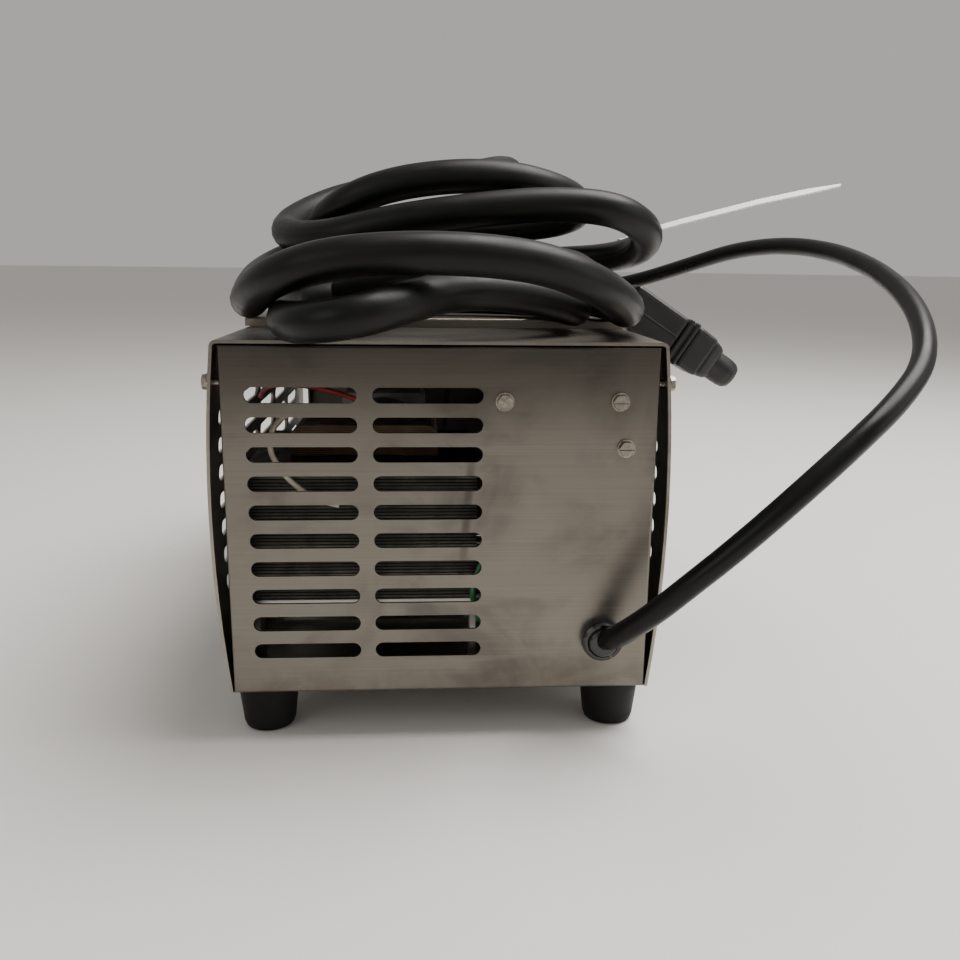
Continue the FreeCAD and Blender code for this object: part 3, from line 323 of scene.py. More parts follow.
def steel_finish(name, tone_and_shade, stain_top, painted_shadow_share, mark=False):
    """Brushed stainless: wiped smudges, stains at the foot, a painted shadow of the cable coil at
    the top, and a rub mark.
    """
    material, tree, shader = blank_material(name, {"Metallic": 1.0})
    grain, lines = use_effect(tree, BRUSHED)
    smudge, _ = use_effect(tree, HANDLED)
    place = object_place(tree)
    parts = split(tree, place)
    x, z = parts["X"], parts["Z"]
    low = spread(tree, z, stain_top, stain_top - STAIN_FADE)
    spots = spread(tree, noise(tree, place, 55.0, 5.0, 0.7), 0.42, 0.62)
    stain = math_node(tree, "MULTIPLY", low, spots)
    bright, dull, smudged, painted_shadow_colour = (
        tuple(v * tone_and_shade for v in colour)
        for colour in (STEEL_BRIGHT, STEEL_DULL, STEEL_SMUDGE, STEEL_PAINTED_SHADOW))
    colour = blend_colours(tree, grain, dull, bright)
    colour = overlay(tree, smudge, 0.6, colour, smudged)
    colour = overlay(tree, stain, 0.5, colour, STEEL_STAIN)
    # Painted shadow: from 140 mm upwards the steel darkens towards a dark brown, standing in for
    # the shadow the cable coil casts over the top of the case and the whole tray.
    painted_shadow = math_node(tree, "MULTIPLY", spread(tree, z, *PAINTED_SHADOW_HEIGHTS),
                        spread(tree, grain, -2.5, 1.0))
    colour = overlay(tree, painted_shadow, painted_shadow_share, colour, painted_shadow_colour)
    if mark:
        colour = overlay(tree, rub_mark(tree, x, z), 0.6, colour, STEEL_RUB)
    feed(tree, shader.inputs["Base Color"], colour)
    rough = spread(tree, grain, 0.0, 1.0, 0.30, 0.40)
    feed(tree, shader.inputs["Roughness"], math_node(tree, "MULTIPLY_ADD", smudge, 0.12, rough))
    dent(tree, shader, lines, 0.12, 0.00006)
    return material


# The tone of each copy of the one steel is partly painted shade: the pan and pump panel, seen in
# shade, are painted darkest, the cover lighter and the tray lightest.
FOOT_TOP = 0.026
paint(steel_finish("panel_steel", 0.385, FOOT_TOP + 0.018, 0.75, mark=True),
      "chassis_pan", "pump_panel")
paint(steel_finish("cover_steel", 0.60, FOOT_TOP + 0.006, 0.35), "cover")
paint(steel_finish("tray_steel", 0.80, FOOT_TOP, 0.5), "top_plate")


# Screws. Hex washer heads of zinc-plated steel hold the panel, the cover and the feet.
# The plating has a dull white-yellow shine.
paint(finish("zinc_plate", (0.22, 0.20, 0.17), (0.42, 0.39, 0.34), (0.18, 0.34), HANDLED,
             (0.1, 0.00005), {"Size": 400.0}, Metallic=1.0),
      "panel_screws", "cover_screws", "foot_screws")


# Four tapered feet of black rubber with a moulded skin, slightly dusty.
paint(finish("foot_rubber", (0.002, 0.002, 0.002), (0.006, 0.006, 0.006), (0.45, 0.7), STIPPLE,
             (0.35, 0.0002), {"Fineness": 1100.0}, Specular_IOR_Level=0.25),
      "foot_front_left", "foot_front_right", "foot_rear_left", "foot_rear_right")


# Mains transformer. A stack of steel laminations on bent brackets, with a winding; the colours of
# both are darkened as painted shade inside the case.
def layered_finish(name, dark, light, pitch, roughness, metallic):
    """Level layers of one thickness, seen from the edge."""
    material, tree, shader = blank_material(name, {"Metallic": metallic})
    z = split(tree, object_place(tree))["Z"]
    saw = math_node(tree, "FRACT", math_node(tree, "MULTIPLY", z, 1 / pitch))
    ridge = math_node(tree, "PINGPONG", saw, 0.5)
    mask, _ = use_effect(tree, STIPPLE, Cloud=60.0)
    line = spread(tree, ridge, 0.04, 0.22)
    colour = overlay(tree, mask, 0.5, blend_colours(tree, line, dark, light), dark)
    feed(tree, shader.inputs["Base Color"], colour)
    feed(tree, shader.inputs["Roughness"], spread(tree, mask, 0.0, 1.0, *roughness))
    dent(tree, shader, line, 0.8, 0.0004)
    return material


# Painted shade: the lamination and winding colours are kept darker than their own colours, standing
# in for the shade inside the case behind the vent slots.
paint(layered_finish("laminations", (0.012, 0.011, 0.010), (0.115, 0.108, 0.096), pitch=0.0016,
                     roughness=(0.35, 0.55), metallic=0.8), "transformer_core")
paint(layered_finish("winding_with_painted_shade", (0.03, 0.018, 0.008), (0.14, 0.085, 0.035), pitch=0.0011,
                     roughness=(0.3, 0.5), metallic=0.0), "transformer_winding")
paint(finish("bracket_zinc", (0.42, 0.41, 0.38), (0.62, 0.61, 0.58), (0.35, 0.55), HANDLED,
             (0.15, 0.0001), Metallic=1.0), "transformer_brackets")


# Gear motor on the pump panel: a painted can, a die-cast gearbox and a ground shaft.
paint(finish("motor_enamel", (0.018, 0.020, 0.024), (0.04, 0.043, 0.05), (0.3, 0.45), STIPPLE,
             (0.2, 0.0001), Coat_Weight=0.2), "drive_motor")
paint(finish("die_cast", (0.30, 0.30, 0.30), (0.48, 0.48, 0.47), (0.45, 0.65), STIPPLE,
             (0.4, 0.0002), {"Fineness": 900.0}, Metallic=0.9), "gearbox")
paint(finish("ground_steel", (0.50, 0.49, 0.47), (0.72, 0.71, 0.69), (0.14, 0.26), BRUSHED,
             (0.08, 0.00004), Metallic=1.0),
      "drive_shaft", "roller_pins", "rotor_bolt", "hinge_pin")
paint(finish("sintered_bronze", (0.32, 0.19, 0.08), (0.55, 0.36, 0.17), (0.35, 0.5), STIPPLE,
             (0.35, 0.0001), Metallic=1.0), "shaft_bushing")


# Speed board: green laminate with tinned tracks, a black finned cooler and one can capacitor.
def board_finish():
    material, tree, shader = blank_material("green_laminate", {"Coat Weight": 0.3})
    cells = add_node(tree, "TexVoronoi", distance="MANHATTAN", feature="F1")
    feed(tree, cells.inputs["Vector"], stretched(tree, object_place(tree), 1.0, 1.0, 1.4))
    feed(tree, cells.inputs["Scale"], 190.0)
    repeats = math_node(tree, "MULTIPLY", cells.outputs["Distance"], 7.0)
    tracks = spread(tree, math_node(tree, "PINGPONG", repeats, 0.5), 0.30, 0.36)
    colour = blend_colours(tree, tracks, (0.010, 0.085, 0.035), (0.03, 0.19, 0.075))
    feed(tree, shader.inputs["Base Color"], colour)
    feed(tree, shader.inputs["Roughness"], spread(tree, tracks, 0.0, 1.0, 0.32, 0.45))
    dent(tree, shader, tracks, 0.3, 0.0001)
    return material


paint(board_finish(), "control_board")
paint(finish("black_anodised", (0.012, 0.012, 0.014), (0.03, 0.03, 0.034), (0.35, 0.5), BRUSHED,
             (0.15, 0.0001), Metallic=0.6), "heat_sink")
paint(finish("shrink_sleeve", (0.012, 0.018, 0.05), (0.02, 0.032, 0.09), (0.22, 0.34), STIPPLE,
             (0.1, 0.0001), {"Fineness": 500.0}, Coat_Weight=0.4), "capacitor")


# Hook-up wires inside the case, in plain coloured plastic.
for label, dark, light in (
    ("wire_beige", (0.50, 0.45, 0.34), (0.66, 0.61, 0.49)),
    ("wire_green", (0.02, 0.14, 0.05), (0.05, 0.25, 0.09)),
    ("wire_red", (0.26, 0.02, 0.015), (0.42, 0.04, 0.03)),
):
    paint(finish(label + "_skin", dark, light, (0.3, 0.45), STIPPLE, (0.1, 0.0001)), label)


# Pump panel controls: rocker switch, bat toggle, pilot lamp and the speed knob on its dial.
# Moulded black plastic, with a turned toggle and a red lens.
PUMP_FACE = 0.1536
KNOB_AXIS = Vector((0.048, PUMP_FACE, 0.114))
paint(finish("black_moulding", (0.009, 0.009, 0.009), (0.020, 0.020, 0.020), (0.34, 0.5), STIPPLE,
             (0.25, 0.0001)),
      "speed_knob", "power_switch_frame", "power_rocker", "speed_potentiometer")
paint(finish("turned_nickel", (0.62, 0.60, 0.56), (0.80, 0.79, 0.76), (0.12, 0.22), HANDLED,
             (0.08, 0.00004), {"Size": 300.0}, Metallic=1.0), "direction_toggle")
paint(finish("toggle_bush", (0.45, 0.44, 0.41), (0.66, 0.65, 0.61), (0.22, 0.36), HANDLED,
             (0.08, 0.00004), {"Size": 260.0}, Metallic=1.0), "direction_switch_base")
paint(finish("red_lens", (0.42, 0.008, 0.006), (0.60, 0.02, 0.012), (0.10, 0.2), STIPPLE,
             (0.05, 0.0001), {"Fineness": 300.0}, Transmission_Weight=0.35, Coat_Weight=0.6),
      "pilot_lamp")


def make_piece(name, shape, material, body, smooth=False):
    """Turns a finished bmesh into an object that rides on a body."""
    mesh = bpy.data.meshes.new(name)
    shape.to_mesh(mesh)
    shape.free()
    mesh.materials.append(material)
    for face in mesh.polygons:
        face.use_smooth = smooth
    piece = bpy.data.objects.new(name, mesh)
    bpy.context.scene.collection.objects.link(piece)
    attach(piece, body)
    return piece


def ease_edges(shape, width, segments=2, wanted=None):
    edges = [e for e in shape.edges if wanted is None or wanted(e)]
    bmesh.ops.bevel(shape, geom=edges, offset=width, segments=segments, profile=0.5, affect="EDGES",
                    material=-1)


def block(shape, size, centre, width=0.0, segments=2, turn=None):
    """An eased box in its own bmesh, copied into shape."""
    part = bmesh.new()
    bmesh.ops.create_cube(part, size=1.0)
    bmesh.ops.scale(part, vec=size, verts=part.verts)
    if width:
        ease_edges(part, width, segments)
    place = Matrix.Translation(centre) @ (turn or Matrix())
    bmesh.ops.transform(part, matrix=place, verts=part.verts)
    merge_in(shape, part)


def merge_in(shape, part):
    mesh = bpy.data.meshes.new("part")
    part.to_mesh(mesh)
    part.free()
    shape.from_mesh(mesh)
    bpy.data.meshes.remove(mesh)


def lathe(shape, profile, steps=48, place=None):
    """A closed turned solid round Z from (radius, height) points, copied into shape."""
    part = bmesh.new()
    verts = [part.verts.new((r, 0, h)) for r, h in profile]
    edges = [part.edges.new(pair) for pair in zip(verts, verts[1:])]
    bmesh.ops.spin(part, geom=verts + edges, axis=(0, 0, 1), cent=(0, 0, 0), steps=steps,
                   angle=math.tau, use_merge=True)
    bmesh.ops.remove_doubles(part, verts=part.verts, dist=1e-6)
    bmesh.ops.recalc_face_normals(part, faces=part.faces)
    if place is not None:
        bmesh.ops.transform(part, matrix=place, verts=part.verts)
    merge_in(shape, part)


OUTWARDS = Matrix.Rotation(-math.pi / 2, 4, "X")


DIAL_SWEEP, DIAL_MARKS, TICK_RADIUS = math.radians(300), 11, 0.0236
LONG_TICK, SHORT_TICK = 0.0050, 0.0034


def speed_dial():
    shape = bmesh.new()
    lathe(shape, [(0.0202, 0.0), (0.0202, 0.0004), (0.0206, 0.0006), (0.0266, 0.0006),
                  (0.0270, 0.0003), (0.0270, 0.0), (0.0202, 0.0)], 96,
          Matrix.Translation(KNOB_AXIS) @ OUTWARDS)
    plate = finish("dial_plate", (0.02, 0.02, 0.02), (0.04, 0.04, 0.04), (0.35, 0.5))
    make_piece("speed_dial", shape, plate, "case")


def dial_ticks(white):
    """Plain ticks round the knob, every fifth one longer."""
    shape = bmesh.new()
    for index in range(DIAL_MARKS):
        angle = DIAL_SWEEP * (index / (DIAL_MARKS - 1) - 0.5)
        turn = Matrix.Rotation(angle, 4, "Y")
        offset = turn @ Vector((0, 0.00075, TICK_RADIUS))
        size = (0.0007, 0.0003, LONG_TICK if index % 5 == 0 else SHORT_TICK)
        block(shape, size, KNOB_AXIS + offset, turn=turn)
    make_piece("dial_ticks", shape, white, "case")


def knob_pointer(white):
    """White line on the knob, which stands on the first tick when the knob is turned down."""
    shape = bmesh.new()
    turn = Matrix.Rotation(math.radians(150), 4, "Y")
    centre = KNOB_AXIS + turn @ Vector((0, 0.0201, 0.0082))
    block(shape, (0.0014, 0.0006, 0.0105), centre, 0.0002, 1, turn)
    make_piece("knob_pointer", shape, white, "knob")


speed_dial()
tick_paint = finish("tick_paint", (0.70, 0.70, 0.68), (0.82, 0.82, 0.80), (0.4, 0.5))
dial_ticks(tick_paint)
knob_pointer(tick_paint)


# Pump head. A moulded housing holds the track and shoe; two turned plates carry three rollers,
# which roll on clear silicone tubing. A hinged clear door and a lever with its cam close it.
def turned_effect():
    """Fine rings that a lathe leaves round an axis along Y."""
    tree, entry, leave = new_effect("turned_rings", {"AxisX": 0.0, "AxisZ": 0.0},
                                    ("Mask", "Height"))
    place = split(tree, object_place(tree))
    squares = []
    for socket, centre in (("X", "AxisX"), ("Z", "AxisZ")):
        side = math_node(tree, "SUBTRACT", place[socket], entry.outputs[centre])
        squares.append(math_node(tree, "MULTIPLY", side, side))
    away = add_node(tree, "CombineXYZ")
    feed(tree, away.inputs[0], math_node(tree, "SQRT", math_node(tree, "ADD", *squares)))
    rings = noise(tree, away.outputs[0], 1600.0, 3.0, 0.65)
    feed(tree, leave.inputs["Mask"], spread(tree, rings, 0.25, 0.75))
    feed(tree, leave.inputs["Height"], rings)
    return tree


TURNED = turned_effect()
plate_low, plate_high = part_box("rotor_front_plate")
rotor_axis = {"AxisX": (plate_low[0] + plate_high[0]) / 2,
              "AxisZ": (plate_low[2] + plate_high[2]) / 2}
paint(finish("turned_aluminium", (0.40, 0.40, 0.395), (0.58, 0.58, 0.57), (0.24, 0.36), TURNED,
             (0.12, 0.00005), rotor_axis, Metallic=1.0),
      "rotor_back_plate", "rotor_front_plate", "rotor_hub")
paint(finish("head_moulding", (0.040, 0.043, 0.047), (0.062, 0.066, 0.071), (0.38, 0.52), STIPPLE,
             (0.3, 0.0001)), "pump_head_housing", "track_shoe")
paint(finish("ground_rollers", (0.44, 0.44, 0.43), (0.62, 0.62, 0.61), (0.16, 0.28), BRUSHED,
             (0.08, 0.00004), Metallic=1.0), "roller_1", "roller_2", "roller_3")
paint(finish("silicone", (0.74, 0.72, 0.64), (0.84, 0.82, 0.74), (0.24, 0.36), STIPPLE,
             (0.1, 0.0001), {"Fineness": 400.0}, Subsurface_Weight=0.2, Subsurface_Scale=0.004,
             Transmission_Weight=0.35), "pump_tube")
paint(finish("connector_white", (0.68, 0.68, 0.66), (0.78, 0.78, 0.76), (0.3, 0.42), STIPPLE,
             (0.15, 0.0001)), "tube_connector_left", "tube_connector_right")
paint(finish("lever_moulding", (0.30, 0.05, 0.012), (0.40, 0.075, 0.02), (0.34, 0.48), STIPPLE,
             (0.25, 0.0001)), "occlusion_lever")
paint(finish("cam_steel", (0.42, 0.41, 0.40), (0.62, 0.61, 0.60), (0.2, 0.34), BRUSHED,
             (0.1, 0.00005), Metallic=1.0), "occlusion_cam")
paint(finish("hinge_plate", (0.45, 0.44, 0.43), (0.62, 0.61, 0.60), (0.28, 0.4), BRUSHED,
             (0.12, 0.00005), Metallic=1.0), "hinge_brackets")
paint(finish("clear_acrylic", (0.80, 0.83, 0.85), (0.86, 0.89, 0.90), (0.02, 0.06), HANDLED,
             (0.02, 0.00002), {"Size": 30.0}, Transmission_Weight=1.0, IOR=1.45), "head_door")


# Mains lead: a round black rubber cord in a two-part bushing, with a short tapered sleeve.
# It rises beside the case, crosses behind the heavy cable and is wound flat, with its plug on top.
CORD_PANEL_FACE = -0.1964


def at(x, y, z):
    """Metres from millimetres, with y measured from the cord panel's face."""
    return Vector((x, y, z)) / 1000 + Vector((0, CORD_PANEL_FACE, 0))


def lay_cord(name, points, diameter, material, smoothness=8):
    curve = bpy.data.curves.new(name, "CURVE")
    curve.dimensions = "3D"
    spline = curve.splines.new("NURBS")
    spline.points.add(len(points) - 1)
    for knot, point in zip(spline.points, points):
        knot.co = (*point, 1)
    spline.order_u = 3
    spline.use_endpoint_u = True
    spline.use_smooth = True
    curve.resolution_u = smoothness
    curve.bevel_depth = diameter / 2
    curve.bevel_resolution = 6
    curve.use_fill_caps = True
    curve.materials.append(material)
    cord = bpy.data.objects.new(name, curve)
    bpy.context.scene.collection.objects.link(cord)
    return cord


SEAM_PLACE = 0.30


def jacket_finish(name, dark, light, roughness, seam, length, **plain):
    """Rubber jacket with fine lengthwise draw lines, dust, and one moulding seam if seam is set."""
    material, tree, shader = blank_material(name, plain)
    mask, grit = use_effect(tree, STIPPLE, Fineness=1300.0, Cloud=22.0)
    uv = add_node(tree, "UVMap", uv_map="UVMap").outputs["UV"]
    drawn = noise(tree, stretched(tree, uv, 14 * length, 24.0, 1.0), 1.0, 4.0, 0.6)
    round_jacket = split(tree, uv)["Y"]
    away = math_node(tree, "ABSOLUTE", math_node(tree, "SUBTRACT", round_jacket, SEAM_PLACE))
    ridge = math_node(tree, "MULTIPLY", spread(tree, away, 0.020, 0.004), seam)
    dust = math_node(tree, "MULTIPLY", mask, spread(tree, drawn, 0.35, 0.7))
    colour = overlay(tree, ridge, 0.25, blend_colours(tree, dust, dark, light), light)
    feed(tree, shader.inputs["Base Color"], colour)
    feed(tree, shader.inputs["Roughness"], spread(tree, mask, 0.0, 1.0, *roughness))
    height = math_node(tree, "ADD", math_node(tree, "MULTIPLY", grit, 0.15),
                       math_node(tree, "MULTIPLY", drawn, 0.3))
    dent(tree, shader, math_node(tree, "MULTIPLY_ADD", ridge, 1.2, height), 0.45, 0.0004)
    return material


MAINS_DIAMETER = 0.0108
MAINS_ROUTE = [
    (77, -1, 52), (79, -10, 54.5), (86, -20, 64), (95, -30, 76), (108, -38, 92), (126, -44, 111),
    (148, -46, 133), (173, -42, 155), (197, -30, 172), (218, -10, 187), (231, 20, 203),
    (239, 58, 217), (241, 100, 229), (237, 145, 238), (226, 190, 242), (208, 236, 239),
    (184, 280, 227), (155, 314, 215), (120, 333, 208), (84, 339, 206), (56, 337, 205.5),
]
TURN_CENTRE = (5, 286)
TRAY_TOP = 199
FIRST_LAYER = TRAY_TOP + 5.7


def wound_turns(first_angle, turns, points_per_turn):
    """Two flat turns side by side on the tray, then one in the groove on top of them."""
    low = FIRST_LAYER
    stages = [(0, 62, low), (0.12, 57.6, low), (0.9, 57.4, low), (1.15, 46.5, low),
              (1.85, 46.3, low), (2.1, 52, low + 9.8), (turns, 52.3, low + 10.6)]
    points = []
    for index in range(1, int(turns * points_per_turn)):
        done = index / points_per_turn
        before, after = next(pair for pair in zip(stages, stages[1:])
                             if pair[0][0] <= done <= pair[1][0])
        share = (done - before[0]) / (after[0] - before[0])
        radius = before[1] + (after[1] - before[1]) * share
        height = before[2] + (after[2] - before[2]) * share
        angle = first_angle + math.tau * done
        reach = radius / math.cos(math.pi / points_per_turn)
        points.append((TURN_CENTRE[0] + reach * math.cos(angle),
                       TURN_CENTRE[1] + reach * math.sin(angle), height))
    return points


BUSHING_PLACE = (77, 0, 52)
PLUG_NECK = (5, 338, 233.2)
PLUG_APPROACH = [
    (51.8, 259.9, 216.3), (58.5, 282.8, 219.2), (56.9, 302.3, 223.1), (48.4, 319, 227.3),
    (33.8, 331.5, 231), (14, 338, 233.2), (-2, 338, 233.2),
]
mains_points = MAINS_ROUTE + wound_turns(math.radians(48), 2.79, 14) + PLUG_APPROACH
mains_jacket = jacket_finish("mains_jacket", (0.002, 0.002, 0.002), (0.005, 0.005, 0.005),
                             (0.26, 0.40), seam=0.0, length=1.8, Specular_IOR_Level=0.22)
mains_cord = lay_cord("mains_lead", [at(*p) for p in mains_points], MAINS_DIAMETER, mains_jacket, 6)
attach(mains_cord, "case")
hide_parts("mains_cord", "mains_cord_coil")


def along_y(point):
    """Places a turned shape so that its Z runs out of the cord panel, towards -Y."""
    return Matrix.Translation(at(*point)) @ Matrix.Rotation(math.pi / 2, 4, "X")


def glossy_black(name):
    return finish(name, (0.003, 0.003, 0.003), (0.008, 0.008, 0.008), (0.12, 0.24), STIPPLE,
                  (0.12, 0.0001), {"Fineness": 700.0}, Coat_Weight=0.3)


BUSHING_HALF_GAP, BUSHING_TURN = 0.00015, 0.5
BUSHING_PROFILE = [
    (0.0060, 0.0030), (0.0060, -0.010), (0.0074, -0.010), (0.0076, 0.0), (0.0098, 0.0),
    (0.0100, 0.0006), (0.0100, 0.0040), (0.0096, 0.0056), (0.0088, 0.0064), (0.0076, 0.0066),
    (0.0068, 0.0060), (0.0060, 0.0030),
]
SLEEVE_PROFILE = [
    (0.0, -0.0120), (0.0059, -0.0120), (0.0059, 0.0020), (0.0074, 0.0040), (0.0073, 0.0062),
    (0.0069, 0.0074), (0.0064, 0.0082), (0.0058, 0.0085), (0.0, 0.0085),
]


def two_part_bushing():
    """One turned profile, cut lengthwise into two halves with a fine gap between them."""
    shape = bmesh.new()
    place = along_y(BUSHING_PLACE) @ Matrix.Rotation(BUSHING_TURN, 4, "Z")
    for side in (1, -1):
        half = bmesh.new()
        lathe(half, BUSHING_PROFILE, 48)
        geometry = half.verts[:] + half.edges[:] + half.faces[:]
        bmesh.ops.bisect_plane(half, geom=geometry, plane_co=(BUSHING_HALF_GAP * side, 0, 0),
                               plane_no=(side, 0, 0), clear_inner=True)
        bmesh.ops.holes_fill(half, edges=[e for e in half.edges if e.is_boundary], sides=0)
        bmesh.ops.recalc_face_normals(half, faces=half.faces)
        bmesh.ops.transform(half, matrix=place, verts=half.verts)
        merge_in(shape, half)
    piece = make_piece("bushing_halves", shape, glossy_black("bushing_nylon"), "case")
    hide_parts("cord_bushing")


def tapered_sleeve():
    shape = bmesh.new()
    lathe(shape, SLEEVE_PROFILE, 40, along_y(BUSHING_PLACE))
    piece = make_piece("strain_relief", shape, glossy_black("sleeve_rubber"), "case", smooth=True)
    return piece


two_part_bushing()
sleeve = tapered_sleeve()


NECK_RIBS = 5


def leftwards(place):
    """Places a turned shape so that its Z runs towards -X."""
    return Matrix.Translation(place) @ Matrix.Rotation(-math.pi / 2, 4, "Y")


def plug_body(neck_end):
    """Round moulded plug with a ribbed neck that grows towards the body."""
    shape = bmesh.new()
    profile = [(0.0, 0.0), (0.0062, 0.0), (0.0066, 0.0006)]
    for rib in range(NECK_RIBS):
        start = 0.003 + 0.0034 * rib
        grow = 0.0068 + 0.0005 * rib
        profile += [(grow, start), (grow - 0.0007, start + 0.0006),
                    (grow - 0.0007, start + 0.0016), (grow + 0.0002, start + 0.0022)]
    profile += [(0.0094, 0.0212), (0.0112, 0.0236), (0.0122, 0.0262), (0.0125, 0.0300),
                (0.0125, 0.0500), (0.0120, 0.0530), (0.0110, 0.0538), (0.0, 0.0538)]
    lathe(shape, profile, 48, leftwards(neck_end))
    return make_piece("plug_body", shape, glossy_black("plug_moulding"), "case")


def plug_pins(neck_end):
    """Two flat blades above one round earth pin."""
    shape = bmesh.new()
    face = neck_end + Vector((-0.0535, 0, 0))
    for side in (1, -1):
        centre = face + Vector((-0.0082, side * 0.00635, 0.0026))
        block(shape, (0.0175, 0.0015, 0.0064), centre, 0.0005, 2)
    lathe(shape, [(0.0, 0.0), (0.0024, 0.0), (0.0024, 0.0180), (0.0016, 0.0200), (0.0, 0.0205)], 24,
          leftwards(face + Vector((0, 0, -0.0065))))
    nickel = finish("pin_nickel", (0.58, 0.55, 0.48), (0.76, 0.73, 0.66), (0.16, 0.3), HANDLED,
                    (0.1, 0.00005), Metallic=1.0)
    return make_piece("plug_pins", shape, nickel, "case")


plug = plug_body(at(*PLUG_NECK))
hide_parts("mains_plug")
pins = plug_pins(at(*PLUG_NECK))


STRAP_OUTLINE = [(-0.0128, -0.0005), (0.0128, -0.0005), (0.0128, 0.0070), (0.0062, 0.0222),
                 (-0.0062, 0.0222), (-0.0128, 0.0070)]
STRAP_WIDTH, STRAP_THICKNESS, STRAP_REACH = 0.012, 0.0009, 0.052


def coil_strap(angle):
    """Hook-and-loop strap round the wound turns."""
    shape = bmesh.new()
    rim = [shape.verts.new((x, 0.0, z)) for x, z in STRAP_OUTLINE]
    for first, second in zip(rim, rim[1:] + rim[:1]):
        shape.edges.new((first, second))
    bmesh.ops.bevel(shape, geom=rim, offset=0.0035, segments=4, profile=0.5, affect="VERTICES",
                    material=-1)
    wide = bmesh.ops.extrude_edge_only(shape, edges=shape.edges[:])
    moved = [v for v in wide["geom"] if isinstance(v, bmesh.types.BMVert)]
    bmesh.ops.translate(shape, vec=(0, STRAP_WIDTH, 0), verts=moved)
    bmesh.ops.recalc_face_normals(shape, faces=shape.faces)
    bmesh.ops.solidify(shape, geom=shape.faces[:], thickness=STRAP_THICKNESS)
    bmesh.ops.recalc_face_normals(shape, faces=shape.faces)
    centre = at(*TURN_CENTRE, TRAY_TOP + 0.7)
    out_to_turns = Matrix.Translation((STRAP_REACH, -STRAP_WIDTH / 2, 0))
    place = Matrix.Translation(centre) @ Matrix.Rotation(angle, 4, "Z") @ out_to_turns
    bmesh.ops.transform(shape, matrix=place, verts=shape.verts)
    loop = finish("strap_loop", (0.02, 0.02, 0.022), (0.05, 0.05, 0.052), (0.8, 0.95), STIPPLE,
                  (0.8, 0.0004), {"Fineness": 2600.0})
    return make_piece("coil_strap", shape, loop, "case")


strap = coil_strap(math.radians(200))


# Heavy cable: thick dark grey rubber from a domed gland on the pump panel.
# It rises behind the case and lies in loose turns on the tray, down to its connector.
HEAVY_DIAMETER = 0.0175
HEAVY_ROUTE = [
    (75, 385, 150), (75, 412, 150), (75, 442, 156), (75, 467, 173), (76, 484, 198),
    (76, 490, 228), (76, 484, 258), (75, 467, 283), (73, 442, 300), (70, 412, 306),
    (60, 380, 305), (50, 346, 301), (36, 312, 295), (16, 280, 288), (-8, 252, 281),
    (-34, 228, 275),
]
LOOSE_TURNS = [
    (-62, 206, 267), (-82, 174, 255), (-88, 140, 245), (-76, 107, 240), (-54, 84, 241),
    (-24, 74, 248), (16, 70, 254), (58, 70, 258), (92, 73, 256), (113, 92, 246), (117, 124, 237),
    (106, 158, 232), (80, 186, 230), (42, 202, 229), (2, 206, 229), (-36, 198, 231),
    (-58, 176, 233), (-66, 148, 238), (-65, 121, 248), (-50, 102, 259), (-25, 94, 268),
    (8, 91, 272.5), (38, 95, 272.5), (64, 108, 268), (82, 132, 262), (84, 160, 256),
    (70, 188, 252), (42, 208, 250), (4, 218, 248), (-36, 216, 245), (-70, 200, 238),
    (-92, 168, 229), (-101, 128, 220), (-99, 88, 213), (-93, 48, 209), (-86, 12, 212),
    (-74, -14, 221), (-49, -30, 229), (-16, -34, 232), (16, -31, 231.5), (44, -25, 228),
    (68, -10, 219), (85, 16, 210), (94, 52, 205), (92, 90, 208.5), (74, 126, 209), (42, 148, 209),
    (4, 156, 209), (-36, 150, 209), (-64, 128, 209), (-78, 94, 208), (-76, 58, 205),
    (-72, 26, 203.5), (-68, -4, 203.5), (-63, -26, 203.5), (-52, -40, 204.5), (-36, -46, 207),
    (-20, -38, 211), (-8, -22, 214), (2, -6, 215.5), (16, 8, 216), (35, 19, 214.5),
    (54, 32, 210.5), (68, 50, 206), (70, 78, 206), (56, 104, 208.5), (30, 118, 209),
    (0, 120, 209), (-30, 110, 209), (-47, 86, 212), (-46, 56, 217), (-26, 36, 221), (4, 29, 224),
    (32, 41, 226), (52, 70, 227), (64, 100, 229), (79, 123, 227), (96, 137, 216.5),
    (118, 140, 200.5),
]
heavy_jacket = jacket_finish("heavy_jacket", (0.002, 0.002, 0.002), (0.006, 0.006, 0.006),
                             (0.34, 0.50), seam=1.0, length=3.0, Specular_IOR_Level=0.22)
heavy_cable = lay_cord("heavy_lead", [at(*p) for p in HEAVY_ROUTE + LOOSE_TURNS], HEAVY_DIAMETER,
                       heavy_jacket, 8)
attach(heavy_cable, "case")
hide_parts("heavy_cable", "heavy_cable_coil")


GLAND_PLACE, GLAND_RIBS = (75, 350, 150), 12
GLAND_PROFILE = [
    (0.0, -0.014), (0.011, -0.014), (0.011, 0.0075), (0.0134, 0.0078), (0.0138, 0.0090),
    (0.0138, 0.0190), (0.0132, 0.0225), (0.0122, 0.0270), (0.0110, 0.0310), (0.0100, 0.0342),
    (0.0090, 0.0350), (0.0, 0.0350),
]


